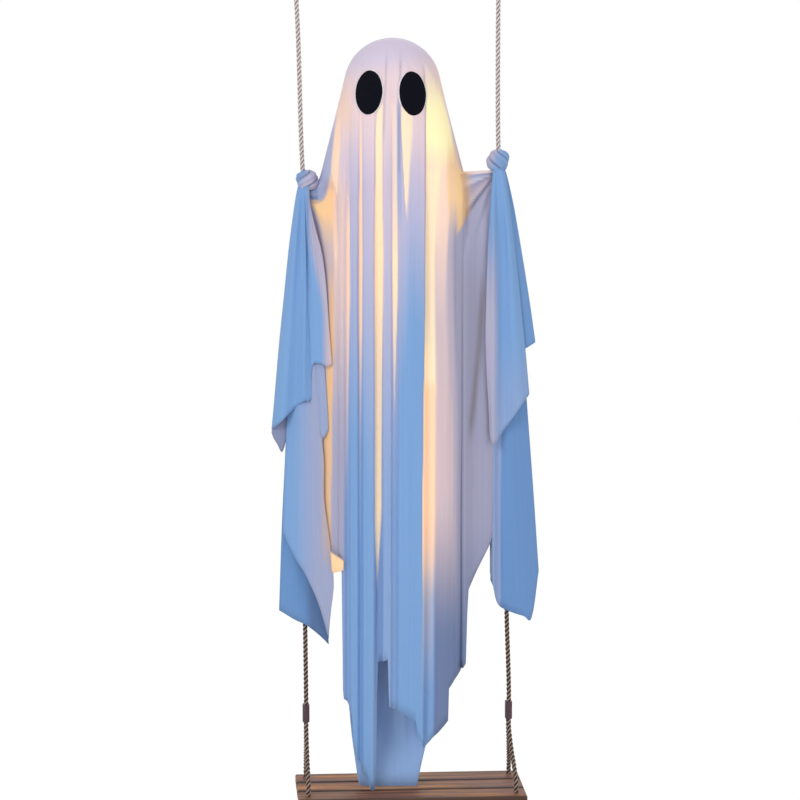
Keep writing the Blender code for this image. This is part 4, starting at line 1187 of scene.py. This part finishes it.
RIGHT_FLAPS = {
    "front": [
        [(0.1880, -0.014, 1.252), (0.1830, -0.029, 1.190), (0.1775, -0.034, 1.100), (0.1740, -0.036, 1.000),
         (0.1735, -0.036, 0.900), (0.1820, -0.034, 0.716)],
        [(0.192, -0.018, 1.257), (0.1890, -0.038, 1.100), (0.190, -0.041, 0.706)],
        [(0.198, -0.017, 1.258), (0.212, -0.026, 0.733)],
        [(0.205, -0.016, 1.257), (0.240, -0.036, 0.774)],
        [(0.211, -0.010, 1.254), (0.263, -0.018, 0.804)]],
    "outer": [
        [(0.203, -0.009, 1.256), (0.236, -0.008, 0.884)],
        [(0.208, -0.006, 1.255), (0.256, -0.012, 0.895)],
        [(0.213, -0.001, 1.253), (0.277, 0.000, 0.906)]],
    "middle": [
        [(0.190, -0.009, 1.250), (0.1860, -0.014, 0.440)],
        [(0.193, -0.012, 1.254), (0.1920, -0.026, 0.412)],
        [(0.198, -0.013, 1.256), (0.2030, -0.016, 0.375)],
        [(0.204, -0.012, 1.256), (0.224, -0.018, 0.362)],
        [(0.209, -0.008, 1.254), (0.254, -0.010, 0.350)],
        [(0.212, -0.001, 1.252), (0.272, -0.004, 0.345)],
        [(0.214, 0.004, 1.250), (0.287, 0.006, 0.440)]],
    "rear": [
        [(0.188, 0.009, 1.252), (0.190, 0.012, 0.420)],
        [(0.198, 0.013, 1.256), (0.212, 0.020, 0.376)],
        [(0.205, 0.012, 1.256), (0.240, 0.012, 0.372)],
        [(0.212, 0.006, 1.254), (0.277, 0.012, 0.430)]],
}


def flap_colour(key, x, z):
    """Painted light and painted glow of a sleeve's flap by place: cool blue outside, paler lilac and warm
    edges towards the body, painted shade lines, and darker painted shade on the flaps that hang behind.
    """
    if x < 0:
        if key == "front":
            start = lerp(-0.156, -0.184, above(z, 0.95, 0.2))
            inner = smoothstep((x - start) / 0.016)
            dye = mix_colour(SKY, mix_colour(HAZE, ROSE, 0.35), 0.9 * inner)
            edge = above(x, -0.147, 0.012)
            # Painted shade along a fold of the front flap.
            dye = mix_colour(dye, DUSK, 0.30 * bump_at(x, -0.1775 - 0.02 * (1.2 - z), 0.0020))
            return mix_colour(dye, mix_colour(ROSE, TAN, 0.4), 0.6 * edge), 0.0
        if key == "curl":
            return mix_colour(DUSK, SLATE, 0.55), 0.0
        if key == "tail":
            return mix_colour(SKY, HAZE, 0.6), 0.0
        if key == "middle":
            inner = above(x, -0.218, 0.060)
            dye = mix_colour(SKY, HAZE, 0.75 * inner)
            # Painted shade and warm inner light at the middle flap's inner edge.
            edge = above(x, -0.158, 0.010) * above(z, 0.44, 0.08)
            return mix_colour(dye, mix_colour(PAINTED_SHADE, AMBER, 0.5), 0.55 * edge), 0.1 * edge
        return mix_colour(DEEP_SKY, DUSK, above(x, -0.190, 0.020)), 0.0
    if key == "front":
        inner = below(x, 0.205, 0.020) * below(z, 1.18, 0.2)
        dye = mix_colour(SKY, mix_colour(HAZE, ROSE, 0.3), 0.85 * inner)
        return mix_colour(dye, HAZE, 0.3 * below(z, 0.95, 0.2)), 0.0
    if key == "middle":
        inner = below(x, 0.2095, 0.003)
        dye = mix_colour(DEEP_SKY, mix_colour(SKY, HAZE, 0.5), 0.8 * inner)
        # Painted shade line along the middle flap's inner edge.
        return mix_colour(dye, DUSK, 0.35 * bump_at(x, 0.2090, 0.0014)), 0.0
    if key == "outer":
        return mix_colour(SKY, DEEP_SKY, 0.75), 0.0
    return mix_colour(DEEP_SKY, DUSK, 0.5), 0.0


def fold_line(points, t):
    """A place on one fold line of a flap, from its top (t = 0) to its hem (t = 1)."""
    z = lerp(points[0].z, points[-1].z, t)
    if len(points) == 2:
        ease = t ** 0.8
        return Vector((lerp(points[0].x, points[1].x, ease), lerp(points[0].y, points[1].y, ease), z))
    last = len(points) - 2
    i = next((k for k in range(last + 1) if z >= points[k + 1].z), last)
    f = (points[i].z - z) / (points[i].z - points[i + 1].z)
    place = catmull(points[max(i - 1, 0)], points[i], points[i + 1], points[min(i + 2, last + 1)], f)
    place.z = z
    return place


def flap_columns(key, lines, phase):
    """Columns of a flap: fold lines joined by a smooth curve, spreading from the knot."""
    rows = 44
    across = 5
    columns = []
    count = len(lines) - 1
    folds = [[Vector(p) for p in line] for line in lines]

    def at(i, t):
        return fold_line(folds[max(0, min(count, i))], t)

    total = count * across
    for c in range(total + 1):
        i = min(c // across, count - 1)
        f = c / across - i
        share = c / total
        points = []
        for j in range(rows + 1):
            t = j / rows
            p = catmull(at(i - 1, t), at(i, t), at(i + 1, t), at(i + 2, t), f)
            gather = FLAP_GATHER * math.sin(share * math.pi * 2 * (count - 0.5) + phase)
            p.y -= gather * math.sin(math.pi * min(1.0, t * 1.6)) * (1 - t) ** 0.6
            p.y += FLAP_DRIFT_Y * noise.noise(Vector((p.x * 22, phase, p.z * 3.0))) * smoothstep(t * 3)
            p.x += FLAP_DRIFT_X * noise.noise(Vector((phase, share * 5, p.z * 6.0))) * smoothstep(t * 3)
            points.append(p)
        columns.append((points, [flap_colour(key, p.x, p.z) for p in points]))
    return columns


# Sheet: the knots

def knot_columns(centre, phase, wind):
    """A ball of cloth wound on itself: bands that spiral up with sharp creases between them.
    wind is 1 or -1, the way the bands turn; the knot wound -1 is the taller one and leans."""
    sides, rings = 72, 44
    tall = 1.04 if wind > 0 else 1.14
    columns = []
    for k in range(sides):
        turn = 2 * math.pi * k / sides
        points, tints = [], []
        for j in range(rings + 1):
            polar = lerp(0.10, math.pi - 0.04, j / rings)
            spiral = 1.5 * turn + 2.4 * polar * wind + phase
            band = abs(math.sin(spiral))
            fine = 0.035 * math.sin(5 * spiral + 2 * polar) * math.sin(polar)
            r = KNOT_RADIUS * (0.80 + 0.26 * band ** 0.6 * math.sin(polar) ** 0.5 + fine)
            r *= 1 + 0.05 * noise.noise(Vector((math.cos(turn) * 2, math.sin(turn) * 2, polar * 2 + phase)))
            lean = 0.10 * math.cos(polar) if wind < 0 else 0.0
            direction = Vector((math.sin(polar) * math.cos(turn) + lean,
                                0.92 * math.sin(polar) * math.sin(turn), tall * math.cos(polar)))
            points.append(Vector(centre) + direction * r)
            # Painted light and shade: painted shade in the creases and along the bands, and one side painted
            # paler where the light falls.
            crease = max(0.0, 1 - band / 0.45) ** 1.5
            pale = smoothstep(0.5 + 0.8 * wind * math.cos(turn + 0.6 * polar - 0.3))
            dye = mix_colour(mix_colour(SKY, HAZE, 0.15), mix_colour(HAZE, CROWN, 0.45), pale)
            dye = mix_colour(dye, DUSK, 0.30 * (0.5 + 0.5 * math.sin(5 * spiral + 2 * polar)))
            tints.append((mix_colour(dye, mix_colour(DUSK, PAINTED_SHADE, 0.4), min(1.0, 1.3 * crease)), 0.0))
        columns.append((points, tints))
    return columns


LEFT_KNOT = (-0.1785, -0.004, 1.232)
RIGHT_KNOT = (0.1995, -0.004, 1.2690)

# Corners of the lit piece of hem that turns out below the lavender panel: top left, top right, low left
# and low right
TURNED_HEM = [(-0.1375, -0.052, 0.4985), (-0.1115, -0.060, 0.4800), (-0.1345, -0.050, 0.4520),
              (-0.1115, -0.058, 0.4580)]


def turned_hem_columns():
    top_left, top_right, low_left, low_right = (Vector(p) for p in TURNED_HEM)
    columns = []
    wide, tall = 8, 6
    for k in range(wide + 1):
        across = k / wide
        points = []
        for j in range(tall + 1):
            p = top_left.lerp(top_right, across).lerp(low_left.lerp(low_right, across), j / tall)
            p.y -= 0.0025 * math.sin(math.pi * across) * (0.4 + 0.6 * j / tall)
            points.append(p)
        # Painted warm light of the inner lamp on the turned hem, with a painted shadow line along its top.
        light = [mix_colour(AMBER, PEACH, 0.4) if j else PAINTED_SHADE for j in range(tall + 1)]
        columns.append((points, [(dye, 0.8) for dye in light]))
    return columns


def make_sheet():
    cloth = Cloth()
    first, rows, count = cloth.add_grid(make_body(), closed=True)
    cloth.cap(first, rows, count, Vector((HEAD_X, 0, HEAD_TOP_Z)), (PINK, 0.0))
    cloth.add_grid(turned_hem_columns())
    for phase, flaps in ((0.6, LEFT_FLAPS), (2.9, RIGHT_FLAPS)):
        for i, (key, lines) in enumerate(flaps.items()):
            cloth.add_grid(flap_columns(key, lines, phase + i))
    for centre, phase, wind in ((LEFT_KNOT, 0.3, 1), (RIGHT_KNOT, 1.1, -1)):
        columns = knot_columns(centre, phase, wind)
        first, rows, count = cloth.add_grid(columns, closed=True)
        top = Vector(centre) + Vector((0, 0, KNOT_RADIUS * KNOT_CAP))
        cloth.cap(first, rows, count, top, columns[0][1][0])
    ob = add_piece("draped_sheet", cloth.verts, cloth.faces, CLOTH, floats={"glow": cloth.glow},
                   vectors={"thread": cloth.thread}, colours={"dye": cloth.dye})
    bm = bmesh.new()
    bm.from_mesh(ob.data)
    area = sum(f.calc_area() for f in bm.faces)
    bm.free()
    solid = ob.modifiers.new("thickness", "SOLIDIFY")
    solid.thickness = CLOTH_THICKNESS
    solid.offset = 0
    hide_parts("ghost_sheet")
    return ob, area


sheet, sheet_area = make_sheet()


# Eyes

EYE_HEIGHT = 0.0845
EYE_THICKNESS = 0.002
EYE_LIFT = 0.0016
EYE_ROUNDING = 0.0009
RIM_WIDTH = 0.0026
RIM_LIFT = 0.0004
RIM_TOP = 0.0014
RIM_ROUNDING = 0.0003
EYE_TILT = math.radians(5.5)
# Each eye: its place across and up, the side its top leans to, and its width
EYES = {"eye_left": (-0.0597, 1.407, 1, 0.0488), "eye_right": (0.023, 1.405, -1, 0.0515)}


def face_place(x, z, lift):
    """A point on the face without its pleats, moved out by lift."""
    half, middle = side_reach(z)
    turn = -math.acos(max(-1, min(1, (x - middle) / half)))
    out = Vector((math.cos(turn), math.sin(turn), max(0, z - (HEAD_TOP_Z - HEAD_RADIUS)) / HEAD_RADIUS))
    return section_point(turn, z, True, 0.0) + out.normalized() * lift


def oval(x0, z0, lean, width, grow, base, top, soft):
    """A padded oval on the face: rings of points from the middle out, then round the edge and back."""
    rings, sides = 10, 64
    verts, faces = [], []
    for layer in (top, base):
        for j in range(rings + 1):
            share = j / rings
            for k in range(sides):
                angle = 2 * math.pi * k / sides
                wobble = 1 + 0.004 * math.sin(7 * angle + x0 * 90)
                u = (width / 2 + grow) * share * math.cos(angle) * wobble
                v = (EYE_HEIGHT / 2 + grow) * share * math.sin(angle) * wobble
                x = x0 + u * math.cos(EYE_TILT) + lean * v * math.sin(EYE_TILT)
                z = z0 - lean * u * math.sin(EYE_TILT) + v * math.cos(EYE_TILT)
                lift = layer - (soft * share ** 8 if layer == top else 0)
                verts.append(face_place(x, z, lift))
    for layer in range(2):
        start = layer * (rings + 1) * sides
        for j in range(rings):
            for k in range(sides):
                m = (k + 1) % sides
                a, b = start + j * sides, start + (j + 1) * sides
                face = (a + k, a + m, b + m, b + k)
                faces.append(face if layer else face[::-1])
    rim, low = rings * sides, (2 * rings + 1) * sides
    for k in range(sides):
        m = (k + 1) % sides
        faces.append((rim + m, rim + k, low + k, low + m))
    return verts, faces


for name, (x0, z0, lean, width) in EYES.items():
    verts, faces = oval(x0, z0, lean, width, 0.0, EYE_LIFT, EYE_LIFT + EYE_THICKNESS, EYE_ROUNDING)
    patch = add_piece(f"felt_{name}", verts, faces, FELT)
    verts, faces = oval(x0, z0, lean, width, RIM_WIDTH, RIM_LIFT, RIM_TOP, RIM_ROUNDING)
    edge = add_piece(f"edge_{name}", verts, faces, FELT_EDGE)
    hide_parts(name)


# Stage and camera

FLOOR_HALF_SIZE = 9.0
FLOOR_DROP = 0.35
LAMP_TARGET = (0, 0, -0.9)
# Each lamp: its name, place, size and power
LAMPS = [("key", (-2.2, -3.2, 1.2), 1.8, 62), ("fill", (2.6, -2.6, 0.2), 2.4, 22),
         ("rim", (0.5, 3.0, 1.6), 2.0, 30)]


def white_to_camera(tree, plain, kind, strength, share, output):
    """Show a share of plain white to camera and glossy rays, and the plain shader to all others."""
    white = tree.nodes.new(kind)
    white.inputs["Color"].default_value = (1, 1, 1, 1)
    white.inputs["Strength"].default_value = strength
    rays = tree.nodes.new("ShaderNodeLightPath")
    either = tree.nodes.new("ShaderNodeMath")
    either.operation = "MAXIMUM"
    part = tree.nodes.new("ShaderNodeMath")
    part.operation = "MULTIPLY"
    part.inputs[1].default_value = share
    mixed = tree.nodes.new("ShaderNodeMixShader")
    for out, into in ((rays.outputs["Is Camera Ray"], either.inputs[0]),
                      (rays.outputs["Is Glossy Ray"], either.inputs[1]),
                      (either.outputs[0], part.inputs[0]), (part.outputs[0], mixed.inputs["Fac"]),
                      (plain.outputs[0], mixed.inputs[1]), (white.outputs[0], mixed.inputs[2]),
                      (mixed.outputs[0], tree.nodes[output].inputs["Surface"])):
        tree.links.new(out, into)


def add_floor():
    mesh = bpy.data.meshes.new("floor")
    size, z = FLOOR_HALF_SIZE, -HANG_HEIGHT - FLOOR_DROP
    corners = [(-size, -size, z), (size, -size, z), (size, size, z), (-size, size, z)]
    mesh.from_pydata(corners, [], [(0, 1, 2, 3)])
    mat = bpy.data.materials.new("pale_floor")
    mat.use_nodes = True
    bsdf = mat.node_tree.nodes["Principled BSDF"]
    bsdf.inputs["Base Color"].default_value = (0.9, 0.9, 0.9, 1)
    bsdf.inputs["Roughness"].default_value = 0.9
    white_to_camera(mat.node_tree, bsdf, "ShaderNodeEmission", 1.04, 0.9, "Material Output")
    mesh.materials.append(mat)
    floor = bpy.data.objects.new("floor", mesh)
    bpy.context.collection.objects.link(floor)


def add_world():
    world = bpy.data.worlds.new("studio")
    bpy.context.scene.world = world
    world.use_nodes = True
    soft = world.node_tree.nodes["Background"]
    soft.inputs["Color"].default_value = (1, 1, 1, 1)
    soft.inputs["Strength"].default_value = 0.62
    white_to_camera(world.node_tree, soft, "ShaderNodeBackground", 1.0, 1.0, "World Output")


def add_lamp(name, place, size, power):
    data = bpy.data.lights.new(name, "AREA")
    data.shape = "DISK"
    data.size = size
    data.energy = power
    lamp = bpy.data.objects.new(name, data)
    bpy.context.collection.objects.link(lamp)
    lamp.location = place
    lamp.rotation_euler = (Vector(LAMP_TARGET) - Vector(place)).to_track_quat("-Z", "Y").to_euler()


def add_camera():
    data = bpy.data.cameras.new("camera")
    data.lens = CAMERA_LENS
    data.sensor_width = 36
    camera = bpy.data.objects.new("camera", data)
    bpy.context.collection.objects.link(camera)
    x, y, z = CAMERA_TARGET
    target = Vector((x, y, z - HANG_HEIGHT))
    back = Vector((math.sin(CAMERA_AZIMUTH) * math.cos(CAMERA_ELEVATION),
                   -math.cos(CAMERA_AZIMUTH) * math.cos(CAMERA_ELEVATION), math.sin(CAMERA_ELEVATION)))
    camera.location = target + back * CAMERA_DISTANCE
    camera.rotation_euler = (-back).to_track_quat("-Z", "Y").to_euler()
    bpy.context.scene.camera = camera


bpy.context.scene.view_settings.view_transform = "Standard"
add_floor()
add_world()
for name, place, size, power in LAMPS:
    add_lamp(name, place, size, power)
add_camera()
